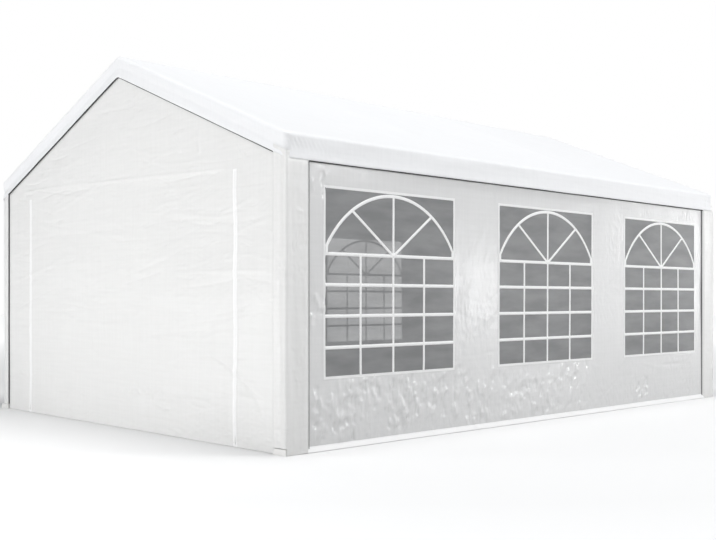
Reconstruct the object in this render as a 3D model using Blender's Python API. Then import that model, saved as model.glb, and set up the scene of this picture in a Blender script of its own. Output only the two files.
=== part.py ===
"""Gable marquee of 4 m by 6 m: a frame of plug-in steel tubes, one roof cover with a valance,
corner covers, side walls with three film windows each, and a gable wall with a door at each end.

Metres, +Z up. The origin is the centre of the footprint, on the ground. The ridge runs along Y,
the front gable faces -Y, and left is -X. Fabric is drawn SHEET thick so that it is a solid.
"""

import math

import bmesh
import bpy
from mathutils import Matrix, Vector

# Outer sizes, over the covers
SPAN = 4.0
LENGTH = 6.0
EAVE_HEIGHT = 2.10
RIDGE_HEIGHT = 2.95
VALANCE_DROP = 0.167

# Cloth
SHEET = 0.004
FILM = 0.003
GAP = 0.0003
WALL_RECESS = 0.020
HEM_CLEARANCE = 0.002

# Corner covers, measured along the gable and along the side
CORNER_ON_GABLE = 0.130
CORNER_ON_SIDE = 0.218
CORNER_ROUND = 0.030
ARC_STEPS = 4

# Walls
WALL_TOP = 2.05
WALL_END_INSET = 0.030
GABLE_WALL_DROP = 0.035
DOOR_HALF_WIDTH = 1.457
DOOR_HEIGHT = 1.90
WINDOW_WIDTH = 1.364
WINDOW_SILL = 0.492
WINDOW_HEAD = 1.770
WINDOW_PITCH = 1.942

# Frame tubes and their plug-in connectors
SIDES_ROUND = 12
TUBE_RADIUS = 0.019
BORE_RADIUS = 0.0198
SLEEVE_RADII = (0.0218, 0.0213, 0.0208)
SLEEVE_REACH = 0.150
SOCKET_START = 0.030
ELBOW = 0.006

# Moulded feet
FOOT_WIDTH = 0.124
FOOT_TOP_WIDTH = 0.112
FOOT_HEIGHT = 0.042
FOOT_EDGE = 0.003
TUBE_IN_FOOT = 0.012

# Sizes that follow
SLOPE = (RIDGE_HEIGHT - EAVE_HEIGHT) / (SPAN / 2)
PITCH = math.atan(SLOPE)
SHEET_UPRIGHT = SHEET / math.cos(PITCH)
FRAME_INSET = WALL_RECESS + SHEET + GAP + SLEEVE_RADII[0]
LEG_X = SPAN / 2 - FRAME_INSET
LEG_Y = LENGTH / 2 - FRAME_INSET
RIDGE_AXIS_Z = RIDGE_HEIGHT - (SHEET + GAP + SLEEVE_RADII[0]) / math.cos(PITCH)
EAVE_AXIS_Z = RIDGE_AXIS_Z - SLOPE * LEG_X
WALL_FACE_X = SPAN / 2 - WALL_RECESS
WALL_FACE_Y = LENGTH / 2 - WALL_RECESS
CORNER_FOOT_SHIFT = SPAN / 2 - SHEET - GAP - FOOT_WIDTH / 2 - LEG_X
MID_FOOT_SHIFT = WALL_FACE_X - SHEET - GAP - FOOT_WIDTH / 2 - LEG_X
HEM_OVER_FOOT = FOOT_HEIGHT + HEM_CLEARANCE
FOOT_REACH = FOOT_WIDTH + SHEET + GAP + HEM_CLEARANCE
OVERCUT = 0.05

SIDES = {"left": -1, "right": 1}
ENDS = {"front": -1, "back": 1}
ARCHES = {"front": -LEG_Y, "mid_front": -LEG_Y / 3, "mid_back": LEG_Y / 3, "back": LEG_Y}
BAYS = {
    "front": ("front", "mid_front"),
    "middle": ("mid_front", "mid_back"),
    "back": ("mid_back", "back"),
}
X, Y, Z = Vector((1, 0, 0)), Vector((0, 1, 0)), Vector((0, 0, 1))

# Finishes
POWDER_COAT = {"colour": (0.80, 0.80, 0.79), "roughness": 0.35, "metallic": 0.1}
TARPAULIN = {"colour": (0.86, 0.87, 0.88), "roughness": 0.55}
CLEAR_FILM = {"colour": (0.42, 0.43, 0.44), "roughness": 0.15, "alpha": 0.4}
SMOOTH_BELOW = math.radians(40)


def clear_scene():
    for thing in list(bpy.data.objects):
        bpy.data.objects.remove(thing, do_unlink=True)


def finish(name, colour, roughness, metallic=0.0, alpha=1.0):
    """A Principled material with one colour."""
    material = bpy.data.materials.new(name)
    material.use_nodes = True
    shader = material.node_tree.nodes["Principled BSDF"]
    shader.inputs["Base Color"].default_value = (*colour, 1.0)
    shader.inputs["Roughness"].default_value = roughness
    shader.inputs["Metallic"].default_value = metallic
    shader.inputs["Alpha"].default_value = alpha
    material.diffuse_color = (*colour, alpha)
    return material


def group(name):
    """An empty that carries one family of pieces."""
    empty = bpy.data.objects.new(name, None)
    bpy.context.scene.collection.objects.link(empty)
    return empty


def add_object(name, mesh, material=None, parent=None, location=(0, 0, 0)):
    piece = bpy.data.objects.new(name, mesh)
    piece.location = location
    piece.parent = parent
    if material and not mesh.materials:
        mesh.materials.append(material)
    bpy.context.scene.collection.objects.link(piece)
    return piece


def mesh_from(shape, name, smooth=False):
    """Turns a bmesh into a mesh whose faces point outwards."""
    bmesh.ops.recalc_face_normals(shape, faces=shape.faces)
    mesh = bpy.data.meshes.new(name)
    shape.to_mesh(mesh)
    shape.free()
    if smooth:
        mesh.shade_smooth()
        mesh.set_sharp_from_angle(angle=SMOOTH_BELOW)
    return mesh


def prism(outline, sweep):
    """The solid that a flat outline, a list of points, leaves when it moves along sweep."""
    shape = bmesh.new()
    face = shape.faces.new([shape.verts.new(point) for point in outline])
    extruded = bmesh.ops.extrude_face_region(shape, geom=[face])
    moved = [item for item in extruded["geom"] if isinstance(item, bmesh.types.BMVert)]
    bmesh.ops.translate(shape, verts=moved, vec=sweep)
    return shape


def block(low, high):
    """A box between two corners."""
    low, high = Vector(low), Vector(high)
    outline = [
        (low.x, low.y, low.z),
        (high.x, low.y, low.z),
        (high.x, high.y, low.z),
        (low.x, high.y, low.z),
    ]
    return prism(outline, (0, 0, high.z - low.z))


def rod(start, end, radius):
    """A round bar between two points."""
    start, end = Vector(start), Vector(end)
    along = end - start
    turned = along.to_track_quat("Z", "Y").to_matrix().to_4x4()
    shape = bmesh.new()
    bmesh.ops.create_cone(
        shape,
        cap_ends=True,
        segments=SIDES_ROUND,
        radius1=radius,
        radius2=radius,
        depth=along.length,
        matrix=Matrix.Translation((start + end) / 2) @ turned,
    )
    return shape


def boolean(target, tool, operation):
    modifier = target.modifiers.new(tool.name, "BOOLEAN")
    modifier.object = tool
    modifier.operation = operation
    modifier.solver = "EXACT"


def cutter(name, shape):
    """A hidden shape that Booleans cut with."""
    tool = add_object(name, mesh_from(shape, name))
    tool.hide_render = True
    tool.display_type = "WIRE"
    return tool


def fused(name, solids, cuts):
    """One mesh: the union of solids, less the cuts."""
    tools = [cutter(f"{name}_tool_{index}", shape) for index, shape in enumerate(solids + cuts)]
    for index, tool in enumerate(tools[1:], start=1):
        boolean(tools[0], tool, "UNION" if index < len(solids) else "DIFFERENCE")
    bpy.context.view_layer.update()
    evaluated = tools[0].evaluated_get(bpy.context.evaluated_depsgraph_get())
    mesh = bpy.data.meshes.new_from_object(evaluated)
    mesh.name = name
    for tool in tools:
        bpy.data.objects.remove(tool, do_unlink=True)
    mesh.shade_smooth()
    mesh.set_sharp_from_angle(angle=SMOOTH_BELOW)
    return mesh


def eave_point(arch, side):
    return Vector((side * LEG_X, ARCHES[arch], EAVE_AXIS_Z))


def ridge_point(arch):
    return Vector((0, ARCHES[arch], RIDGE_AXIS_Z))


def add_tube(name, start, end, material, parent):
    """A frame tube that plugs into the connectors at start and end, with its origin at its start."""
    along = (end - start).normalized()
    length = (end - start).length - 2 * (SOCKET_START + GAP)
    mesh = mesh_from(rod((0, 0, 0), along * length, TUBE_RADIUS), name, smooth=True)
    add_object(name, mesh, material, parent, start + along * (SOCKET_START + GAP))


def connector_mesh(name, arms, along_y):
    """Sleeves round one point: arms are directions, and along_y says which of -Y and +Y have one."""
    reach = {way: SLEEVE_REACH if way in along_y else ELBOW for way in (-1, 1)}
    solids = [rod(-arm * ELBOW, arm * SLEEVE_REACH, radius) for arm, radius in zip(arms, SLEEVE_RADII)]
    solids.append(rod(-Y * reach[-1], Y * reach[1], SLEEVE_RADII[2]))
    ways = arms + [Y * way for way in along_y]
    bores = [rod(way * SOCKET_START, way * (SLEEVE_REACH + OVERCUT), BORE_RADIUS) for way in ways]
    return fused(name, solids, bores)


def sockets_along_y(arch):
    """The ends of the building have a tube on one side only."""
    return {"front": [1], "back": [-1]}.get(arch, [-1, 1])


def add_connectors(material, parent):
    for arch in ARCHES:
        ridge = ridge_point(arch)
        rafters = [(eave_point(arch, side) - ridge).normalized() for side in SIDES.values()]
        mesh = connector_mesh(f"ridge_connector_{arch}", rafters, sockets_along_y(arch))
        add_object(mesh.name, mesh, material, parent, ridge)
        for side_name, side in SIDES.items():
            eave = eave_point(arch, side)
            arms = [-Z, (ridge - eave).normalized()]
            mesh = connector_mesh(f"eave_connector_{arch}_{side_name}", arms, sockets_along_y(arch))
            add_object(mesh.name, mesh, material, parent, eave)


def add_roof_tubes(material, parent):
    for arch in ARCHES:
        for side_name, side in SIDES.items():
            start, end = ridge_point(arch), eave_point(arch, side)
            add_tube(f"rafter_{arch}_{side_name}", start, end, material, parent)
    for bay, (near, far) in BAYS.items():
        add_tube(f"ridge_tube_{bay}", ridge_point(near), ridge_point(far), material, parent)
        for side_name, side in SIDES.items():
            start, end = eave_point(near, side), eave_point(far, side)
            add_tube(f"eave_tube_{bay}_{side_name}", start, end, material, parent)


def foot_shape(centre):
    """A tapered moulded foot on the ground."""
    placed = Matrix.Translation(centre + Z * FOOT_HEIGHT / 2)
    shape = bmesh.new()
    bmesh.ops.create_cone(
        shape,
        cap_ends=True,
        segments=4,
        radius1=FOOT_WIDTH / math.sqrt(2),
        radius2=FOOT_TOP_WIDTH / math.sqrt(2),
        depth=FOOT_HEIGHT,
        matrix=placed @ Matrix.Rotation(math.pi / 4, 4, "Z"),
    )
    top = [edge for edge in shape.edges if all(vert.co.z > FOOT_HEIGHT / 2 for vert in edge.verts)]
    bmesh.ops.bevel(shape, geom=top, offset=FOOT_EDGE, segments=1, affect="EDGES")
    return shape


def add_legs(material, parent):
    """A tube in a foot that reaches inwards. A corner foot stands out under the corner cover."""
    top = EAVE_AXIS_Z - SOCKET_START - GAP
    for arch, y in ARCHES.items():
        for side_name, side in SIDES.items():
            name = f"leg_{arch}_{side_name}"
            if arch in ENDS:
                shift = Vector((side, ENDS[arch], 0)) * CORNER_FOOT_SHIFT
            else:
                shift = Vector((side, 0, 0)) * MID_FOOT_SHIFT
            foot = foot_shape(shift)
            mesh = fused(name, [rod(Z * TUBE_IN_FOOT, Z * top, TUBE_RADIUS), foot], [])
            add_object(name, mesh, material, parent, (side * LEG_X, y, 0))


def under_roof(drop, half_span, floor):
    """The gable outline that lies drop under the roof's surface and half_span to each side."""
    peak = RIDGE_HEIGHT - drop
    side = peak - SLOPE * half_span
    return [(-half_span, floor), (-half_span, side), (0, peak), (half_span, side), (half_span, floor)]


def upright(outline, y):
    """Places an outline of (x, z) points in the plane at y."""
    return [(x, y, z) for x, z in outline]


def add_roof_cover(material, parent):
    """Both slopes, the side valances and the gable valances, as one shell that is open below."""
    half, end = SPAN / 2, LENGTH / 2
    top = under_roof(0, half, 0)[1:4]
    hem = under_roof(VALANCE_DROP, half, 0)[1:4]
    shell = prism(upright(top + hem[::-1], -end), Y * LENGTH)
    cover = add_object("roof_cover", mesh_from(shell, "roof_cover"), material, parent)
    hollow = under_roof(SHEET_UPRIGHT, half - SHEET, EAVE_HEIGHT - VALANCE_DROP - OVERCUT)
    inner = prism(upright(hollow, SHEET - end), Y * (LENGTH - 2 * SHEET))
    boolean(cover, cutter("roof_hollow", inner), "DIFFERENCE")


def corner_outline(side, end):
    """The bent strip of a corner cover, from above: out along the outside, and back along the inside."""
    half, tip = SPAN / 2, LENGTH / 2
    centre = Vector((half - CORNER_ROUND, tip - CORNER_ROUND))
    outside, inside = [], []
    for step in range(ARC_STEPS + 1):
        turn = math.pi / 2 * (1 - step / ARC_STEPS)
        ray = Vector((math.cos(turn), math.sin(turn)))
        outside.append(centre + ray * CORNER_ROUND)
        inside.append(centre + ray * (CORNER_ROUND - SHEET))
    gable_edge = [Vector((half - CORNER_ON_GABLE, tip - SHEET)), Vector((half - CORNER_ON_GABLE, tip))]
    side_edge = [Vector((half, tip - CORNER_ON_SIDE)), Vector((half - SHEET, tip - CORNER_ON_SIDE))]
    points = gable_edge + outside + side_edge + inside[::-1]
    return [(side * point.x, end * point.y) for point in points]


def add_corner_covers(material, parent):
    """They hang from the valance's lower edge. On the gable they stop above the foot."""
    above = under_roof(VALANCE_DROP + GAP, SPAN, RIDGE_HEIGHT)[1:4]
    sky = above + [(SPAN, RIDGE_HEIGHT), (-SPAN, RIDGE_HEIGHT)]
    slanted_top = cutter("above_valance_edge", prism(upright(sky, -LENGTH), Y * 2 * LENGTH))
    for end_name, end in ENDS.items():
        foot_line = end * (LENGTH / 2 - CORNER_ROUND)
        low, high = sorted((foot_line, foot_line + end * OVERCUT))
        step = block((-SPAN, low, -OVERCUT), (SPAN, high, HEM_OVER_FOOT))
        over_foot = cutter(f"over_feet_{end_name}", step)
        for side_name, side in SIDES.items():
            name = f"corner_cover_{end_name}_{side_name}"
            outline = [(x, y, HEM_CLEARANCE) for x, y in corner_outline(side, end)]
            cover = add_object(name, mesh_from(prism(outline, Z * EAVE_HEIGHT), name), material, parent)
            boolean(cover, slanted_top, "DIFFERENCE")
            boolean(cover, over_foot, "DIFFERENCE")


def add_gable_walls(material, parent):
    """Each gable wall leaves a doorway, and its door closes it. Its hem steps over the corner feet."""
    edge, foot_edge = SPAN / 2 - WALL_END_INSET, SPAN / 2 - FOOT_REACH
    for end_name, end in ENDS.items():
        outside = end * WALL_FACE_Y
        outline = under_roof(GABLE_WALL_DROP, edge, HEM_OVER_FOOT)
        lower_edge = [
            (foot_edge, HEM_OVER_FOOT),
            (foot_edge, HEM_CLEARANCE),
            (DOOR_HALF_WIDTH, HEM_CLEARANCE),
            (DOOR_HALF_WIDTH, DOOR_HEIGHT),
            (-DOOR_HALF_WIDTH, DOOR_HEIGHT),
            (-DOOR_HALF_WIDTH, HEM_CLEARANCE),
            (-foot_edge, HEM_CLEARANCE),
            (-foot_edge, HEM_OVER_FOOT),
        ]
        wall = prism(upright(outline + lower_edge, outside), -Y * end * SHEET)
        add_object(f"{end_name}_wall", mesh_from(wall, f"{end_name}_wall"), material, parent)
        faces = sorted((outside, outside - end * SHEET))
        low = (-DOOR_HALF_WIDTH + GAP, faces[0], HEM_CLEARANCE)
        high = (DOOR_HALF_WIDTH - GAP, faces[1], DOOR_HEIGHT - GAP)
        add_object(f"{end_name}_door", mesh_from(block(low, high), f"{end_name}_door"), material, parent)


def window_box(side, centre, thickness, margin):
    """A box round one window. It is thickness deep, and margin larger on its four edges."""
    middle = side * (WALL_FACE_X - SHEET / 2)
    low = (middle - thickness / 2, centre - WINDOW_WIDTH / 2 - margin, WINDOW_SILL - margin)
    high = (middle + thickness / 2, centre + WINDOW_WIDTH / 2 + margin, WINDOW_HEAD + margin)
    return block(low, high)


def side_wall_outline():
    """(y, z) points of a side wall, whose hem steps over the corner feet."""
    end, foot_edge = LENGTH / 2 - WALL_END_INSET, LENGTH / 2 - FOOT_REACH
    half = [(foot_edge, HEM_CLEARANCE), (foot_edge, HEM_OVER_FOOT), (end, HEM_OVER_FOOT), (end, WALL_TOP)]
    return half + [(-y, z) for y, z in reversed(half)]


def add_side_walls(cloth, film, parent):
    for side_name, side in SIDES.items():
        outline = [(side * WALL_FACE_X, y, z) for y, z in side_wall_outline()]
        panel = prism(outline, -X * side * SHEET)
        wall = add_object(f"{side_name}_wall", mesh_from(panel, f"{side_name}_wall"), cloth, parent)
        for bay, centre in zip(BAYS, (-WINDOW_PITCH, 0, WINDOW_PITCH)):
            name = f"window_{bay}_{side_name}"
            opening = window_box(side, centre, OVERCUT, 0)
            boolean(wall, cutter(f"{name}_opening", opening), "DIFFERENCE")
            add_object(name, mesh_from(window_box(side, centre, FILM, -GAP), name), film, parent)


def main():
    clear_scene()
    steel = finish("white_powder_coat", **POWDER_COAT)
    cloth = finish("white_tarpaulin", **TARPAULIN)
    film = finish("window_film", **CLEAR_FILM)
    frame = group("frame")
    covers = group("covers")
    add_legs(steel, frame)
    add_connectors(steel, frame)
    add_roof_tubes(steel, frame)
    add_roof_cover(cloth, covers)
    add_corner_covers(cloth, covers)
    add_gable_walls(cloth, covers)
    add_side_walls(cloth, film, covers)


main()
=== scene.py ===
"""Looks of a gable marquee: creased white tarpaulin over a frame of plug-in tubes.

Metres, +Z up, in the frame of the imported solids. The ridge runs along Y, the front gable faces -Y
and left is -X. Every cloth piece is a grid of points: its flat cut, plus a relief that lifts it.
"""

import logging
import math
from abc import ABC, abstractmethod
from dataclasses import dataclass, field
from enum import Enum
from typing import Sequence

import bmesh
import bpy
import numpy as np
from mathutils import Matrix, Vector


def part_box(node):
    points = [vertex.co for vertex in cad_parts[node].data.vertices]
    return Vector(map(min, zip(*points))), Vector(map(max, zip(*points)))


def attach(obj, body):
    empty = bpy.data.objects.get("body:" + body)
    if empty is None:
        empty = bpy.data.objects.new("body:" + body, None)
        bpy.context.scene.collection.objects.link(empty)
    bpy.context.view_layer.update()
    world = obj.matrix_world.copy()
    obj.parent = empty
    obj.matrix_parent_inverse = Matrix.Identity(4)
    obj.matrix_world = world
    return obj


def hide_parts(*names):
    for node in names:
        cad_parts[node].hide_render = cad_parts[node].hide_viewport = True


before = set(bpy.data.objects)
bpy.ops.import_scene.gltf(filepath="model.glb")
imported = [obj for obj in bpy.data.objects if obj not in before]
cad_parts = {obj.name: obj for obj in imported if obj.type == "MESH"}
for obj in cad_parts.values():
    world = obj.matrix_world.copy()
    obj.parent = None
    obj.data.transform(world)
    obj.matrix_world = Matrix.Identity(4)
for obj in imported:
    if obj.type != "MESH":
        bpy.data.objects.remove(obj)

LOG = logging.getLogger("marquee")
BODY = "root"
CLOTH_MAP = "cloth"

Colour = tuple[float, float, float]
Pair = tuple[float, float]
Triple = tuple[float, float, float]
Inputs = dict[str | int, object]


class Side(Enum):
    """A long side of the building, with its sign along X."""

    LEFT = -1
    RIGHT = 1


class End(Enum):
    """A gable end of the building, with its sign along Y."""

    FRONT = -1
    BACK = 1


class Bay(Enum):
    """One of the three bays of a long side, with its place along Y in bays."""

    FRONT = -1
    MIDDLE = 0
    BACK = 1


class Slot(Enum):
    """The material slots of the part's record."""

    ROOF = "roof_cloth"
    WALL = "wall_cloth"
    FILM = "window_film"
    STEEL = "steel"
    CONNECTOR = "connector"


def label(*parts: str | Enum) -> str:
    """Joins words and options into a piece's name."""
    return "_".join(part if isinstance(part, str) else part.name.lower() for part in parts)


def smooth(low: float, high: float, value: np.ndarray) -> np.ndarray:
    """Rises smoothly from 0 at low to 1 at high, or falls where high is the lower.

    Args:
        low: Value where the step starts.
        high: Value where the step ends.
        value: Numbers to map.

    Returns:
        One number from 0 to 1 for each value.
    """
    share = np.clip((value - low) / (high - low), 0.0, 1.0)
    return share * share * (3.0 - 2.0 * share)


def limited(lift: np.ndarray, lowest: np.ndarray | float, highest: np.ndarray | float) -> np.ndarray:
    """Bends a relief softly, so that it stays between a negative and a positive bound.

    Args:
        lift: Heights to bend.
        lowest: Negative bound.
        highest: Positive bound.

    Returns:
        The bent heights.
    """
    bound = np.where(lift < 0.0, -np.asarray(lowest), highest)
    return bound * np.tanh(lift / bound)


def spaced(*stops_and_steps: float) -> np.ndarray:
    """Coordinates that meet every stop, with the step between two stops written between them.

    Args:
        stops_and_steps: Stop, step, stop, step and so on to the last stop.

    Returns:
        Rising or falling coordinates.
    """
    runs = []
    for low, step, high in zip(stops_and_steps[::2], stops_and_steps[1::2], stops_and_steps[2::2]):
        count = max(1, round(abs(high - low) / step))
        runs.append(np.linspace(low, high, count + 1)[:-1])
    return np.concatenate([*runs, [stops_and_steps[-1]]])


class Noise:
    """Smooth gradient noise on a plane, the same on every run."""

    TABLE = 2048
    GAIN = 1.4

    def __init__(self, seed: int) -> None:
        """Draws the slopes of the noise.

        Args:
            seed: Number that picks the pattern.
        """
        rng = np.random.default_rng(seed)
        turns = rng.uniform(0.0, 2.0 * math.pi, self.TABLE)
        self.slopes = np.stack([np.cos(turns), np.sin(turns)], axis=1)
        self.order = rng.permutation(self.TABLE)

    def _corner(self, column: np.ndarray, row: np.ndarray, du: np.ndarray, dv: np.ndarray) -> np.ndarray:
        """The part of one cell corner at offsets from it."""
        picked = self.slopes[self.order[(self.order[column % self.TABLE] + row) % self.TABLE]]
        return picked[..., 0] * du + picked[..., 1] * dv

    def at(self, u: np.ndarray, v: np.ndarray) -> np.ndarray:
        """Noise from about -1 to 1 at points in cells of size 1.

        Args:
            u: First coordinates.
            v: Second coordinates.

        Returns:
            One number for each point.
        """
        column, row = np.floor(u).astype(int), np.floor(v).astype(int)
        du, dv = u - column, v - row
        blend_u, blend_v = smooth(0.0, 1.0, du), smooth(0.0, 1.0, dv)
        near = self._corner(column, row, du, dv) * (1.0 - blend_u)
        near += self._corner(column + 1, row, du - 1.0, dv) * blend_u
        far = self._corner(column, row + 1, du, dv - 1.0) * (1.0 - blend_u)
        far += self._corner(column + 1, row + 1, du - 1.0, dv - 1.0) * blend_u
        return self.GAIN * (near * (1.0 - blend_v) + far * blend_v)


@dataclass(frozen=True)
class Billow:
    """Broad soft waves of hanging cloth.

    Attributes:
        height: Height of the waves.
        across: Distance between waves along u.
        down: Distance between waves along v.
    """

    height: float
    across: float
    down: float

    def lift(self, u: np.ndarray, v: np.ndarray, noise: Noise) -> np.ndarray:
        """Height of the waves at points of the cloth."""
        return self.height * noise.at(u / self.across, v / self.down)


@dataclass(frozen=True)
class Crumple:
    """Sharp-edged wrinkles that packing leaves, in patches.

    Attributes:
        height: Height of the strongest wrinkles.
        size: Distance between wrinkles.
        stretch: How much longer than wide the wrinkles are along u.
        patch: Size of the patches that they lie in.
        calm: Share of the strength that is left between patches.
        SHARPNESS: How steeply the wrinkles fall from their crests.
        WANDER: How far the wrinkles stray from a straight grid.
        FINER: How many times closer the second set of wrinkles lies.
        FINER_SHARE: Height of the second set against the first.
    """

    SHARPNESS = 2.6
    WANDER = 0.6
    FINER = 2.1
    FINER_SHARE = 0.45

    height: float
    size: float
    stretch: float = 1.0
    patch: float = 0.7
    calm: float = 0.25

    def lift(self, u: np.ndarray, v: np.ndarray, noise: Noise) -> np.ndarray:
        """Height of the wrinkles at points of the cloth.

        Args:
            u: First cloth coordinates.
            v: Second cloth coordinates.
            noise: The noise that the wrinkles follow.

        Returns:
            One height for each point.
        """
        wander = self.WANDER * noise.at(u / (3.0 * self.size) + 11.3, v / (3.0 * self.size) - 4.7)
        across, down = u / (self.size * self.stretch) + wander, v / self.size - wander
        ridges = 1.0 - self.SHARPNESS * np.abs(noise.at(across, down))
        finer = 1.0 - self.SHARPNESS * np.abs(noise.at(self.FINER * across + 5.2, self.FINER * down - 9.1))
        patches = smooth(-0.35, 0.55, noise.at(u / self.patch - 2.2, v / self.patch + 6.4))
        strength = 0.5 * self.height * (self.calm + (1.0 - self.calm) * patches)
        return strength * (ridges + self.FINER_SHARE * finer)


@dataclass(frozen=True)
class Crease:
    """One pressed line in a sheet, from start to end on the cloth.

    Attributes:
        start: Cloth coordinates of one end.
        end: Cloth coordinates of the other end.
        height: Height of the line, negative where it is pressed in.
        width: Distance from the line at which its height has fallen to a third.
        bow: How far the line's middle bends aside.
        REACH: Widths from the line at which the crease has no height left.
        FADE: Share of the line over which each end fades out.
    """

    REACH = 6.0
    FADE = 0.2

    start: Pair
    end: Pair
    height: float
    width: float
    bow: float = 0.0

    def lift(self, u: np.ndarray, v: np.ndarray) -> np.ndarray:
        """Height of the crease at points of the cloth.

        Args:
            u: First cloth coordinates.
            v: Second cloth coordinates.

        Returns:
            One height for each point.
        """
        along = np.subtract(self.end, self.start)
        length = float(np.hypot(*along))
        along = along / length
        share = ((u - self.start[0]) * along[0] + (v - self.start[1]) * along[1]) / length
        across = (v - self.start[1]) * along[0] - (u - self.start[0]) * along[1]
        lift = np.zeros(np.shape(across))
        reach = abs(self.bow) + self.REACH * self.width
        near = (share > 0.0) & (share < 1.0) & (np.abs(across) < reach)
        share, across = share[near], across[near]
        across = across - 4.0 * self.bow * share * (1.0 - share)
        ends = smooth(0.0, self.FADE, share) * smooth(1.0, 1.0 - self.FADE, share)
        lift[near] = self.height * ends * np.exp(-np.abs(across) / self.width)
        return lift


@dataclass(frozen=True)
class StrayCreases:
    """Random creases over a sheet.

    Attributes:
        count: Number of creases.
        lean: Mean direction, in degrees from u.
        spread: Scatter of the direction, in degrees.
        length: Shortest and longest crease.
        width: Narrowest and widest crease.
        height: Lowest and highest crease; each is pressed in or out at random.
    """

    count: int
    lean: float
    spread: float
    length: Pair
    width: Pair = (0.006, 0.016)
    height: Pair = (0.0008, 0.003)

    def drawn(self, low: Sequence[float], high: Sequence[float], seed: int) -> list[Crease]:
        """Places the creases between two corners of the cloth.

        Args:
            low: Lowest cloth coordinates.
            high: Highest cloth coordinates.
            seed: Number that picks the creases.

        Returns:
            The creases.
        """
        rng = np.random.default_rng(seed)
        found = []
        for _ in range(self.count):
            centre = rng.uniform(low, high)
            turn = math.radians(self.lean + self.spread * rng.standard_normal())
            half = 0.5 * rng.uniform(*self.length) * np.array([math.cos(turn), math.sin(turn)])
            lift = rng.uniform(*self.height) * rng.choice((-1.0, 1.0))
            bow = 0.08 * rng.standard_normal() * float(np.hypot(*half))
            width = rng.uniform(*self.width)
            found.append(Crease(tuple(centre - half), tuple(centre + half), lift, width, bow))
        return found


@dataclass
class Relief:
    """All that lifts one sheet off its flat cut.

    Attributes:
        seed: Number that picks the noise of the first wave, one less than that of the next.
        waves: Waves and wrinkles that cover the sheet.
        creases: Single creases.
    """

    seed: int
    waves: Sequence[Billow | Crumple] = ()
    creases: Sequence[Crease] = ()

    def at(self, u: np.ndarray, v: np.ndarray) -> np.ndarray:
        """Height of the sheet at points of its cloth.

        Args:
            u: First cloth coordinates.
            v: Second cloth coordinates.

        Returns:
            One height for each point.
        """
        total = np.zeros(np.shape(u))
        for index, wave in enumerate(self.waves):
            total = total + wave.lift(u, v, Noise(self.seed + index))
        for crease in self.creases:
            total = total + crease.lift(u, v)
        return total


class Wiring:
    """Places and joins the nodes of one shader tree."""

    STEP = 190.0

    def __init__(self, tree: bpy.types.NodeTree) -> None:
        """Takes a tree to work in.

        Args:
            tree: Node tree of a material, group or world.
        """
        self.tree = tree
        self.placed = 0

    def add(self, kind: str, inputs: Inputs | None = None, **settings: object) -> bpy.types.Node:
        """Adds a node.

        Args:
            kind: Blender's name of the node's type.
            inputs: Values or sockets for inputs, by name or number.
            settings: Values for the node's own settings.

        Returns:
            The node.
        """
        node = self.tree.nodes.new(kind)
        node.location = (self.STEP * self.placed, 0.0)
        self.placed += 1
        for name, value in settings.items():
            setattr(node, name, value)
        for name, value in (inputs or {}).items():
            self.feed(node.inputs[name], value)
        return node

    def feed(self, socket: bpy.types.NodeSocket, value: object) -> None:
        """Joins a socket to the input, or sets the input's own value.

        Args:
            socket: The input.
            value: A socket or a plain value.
        """
        if isinstance(value, bpy.types.NodeSocket):
            self.tree.links.new(value, socket)
        else:
            socket.default_value = value

    def math(self, operation: str, first: object, second: object = 0.0) -> bpy.types.NodeSocket:
        """The result of a Math node for one or two numbers or sockets."""
        return self.add("ShaderNodeMath", {0: first, 1: second}, operation=operation).outputs[0]

    def stretched(self, vector: object, scale: Triple) -> bpy.types.NodeSocket:
        """A vector's socket times one number for each axis."""
        return self.add("ShaderNodeVectorMath", {0: vector, 1: scale}, operation="MULTIPLY").outputs[0]

    def scaled(self, vector: object, size: object) -> bpy.types.NodeSocket:
        """A vector's socket divided by a number or socket."""
        inputs = {0: vector, "Scale": self.math("DIVIDE", 1.0, size)}
        return self.add("ShaderNodeVectorMath", inputs, operation="SCALE").outputs[0]

    def group(self, tree: bpy.types.NodeTree, inputs: Inputs) -> bpy.types.Node:
        """Places a node group with values or sockets for its inputs, by name."""
        return self.add("ShaderNodeGroup", inputs, node_tree=tree)

    def tinted(self, factor: object, base: Colour, tint: Colour) -> bpy.types.NodeSocket:
        """A colour that goes from base to tint as a factor rises from 0 to 1."""
        inputs = {0: factor, 6: (*base, 1.0), 7: (*tint, 1.0)}
        return self.add("ShaderNodeMix", inputs, data_type="RGBA").outputs[2]

    def bumped(self, height: object, distance: float, under: object = None) -> bpy.types.NodeSocket:
        """A normal bent by a height.

        Args:
            height: The height's socket.
            distance: Depth of a height of 1, in metres.
            under: Normal that is already bent, or None.

        Returns:
            The normal's socket.
        """
        node = self.add("ShaderNodeBump", {"Height": height, "Distance": distance})
        if under is not None:
            self.feed(node.inputs["Normal"], under)
        return node.outputs["Normal"]


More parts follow.
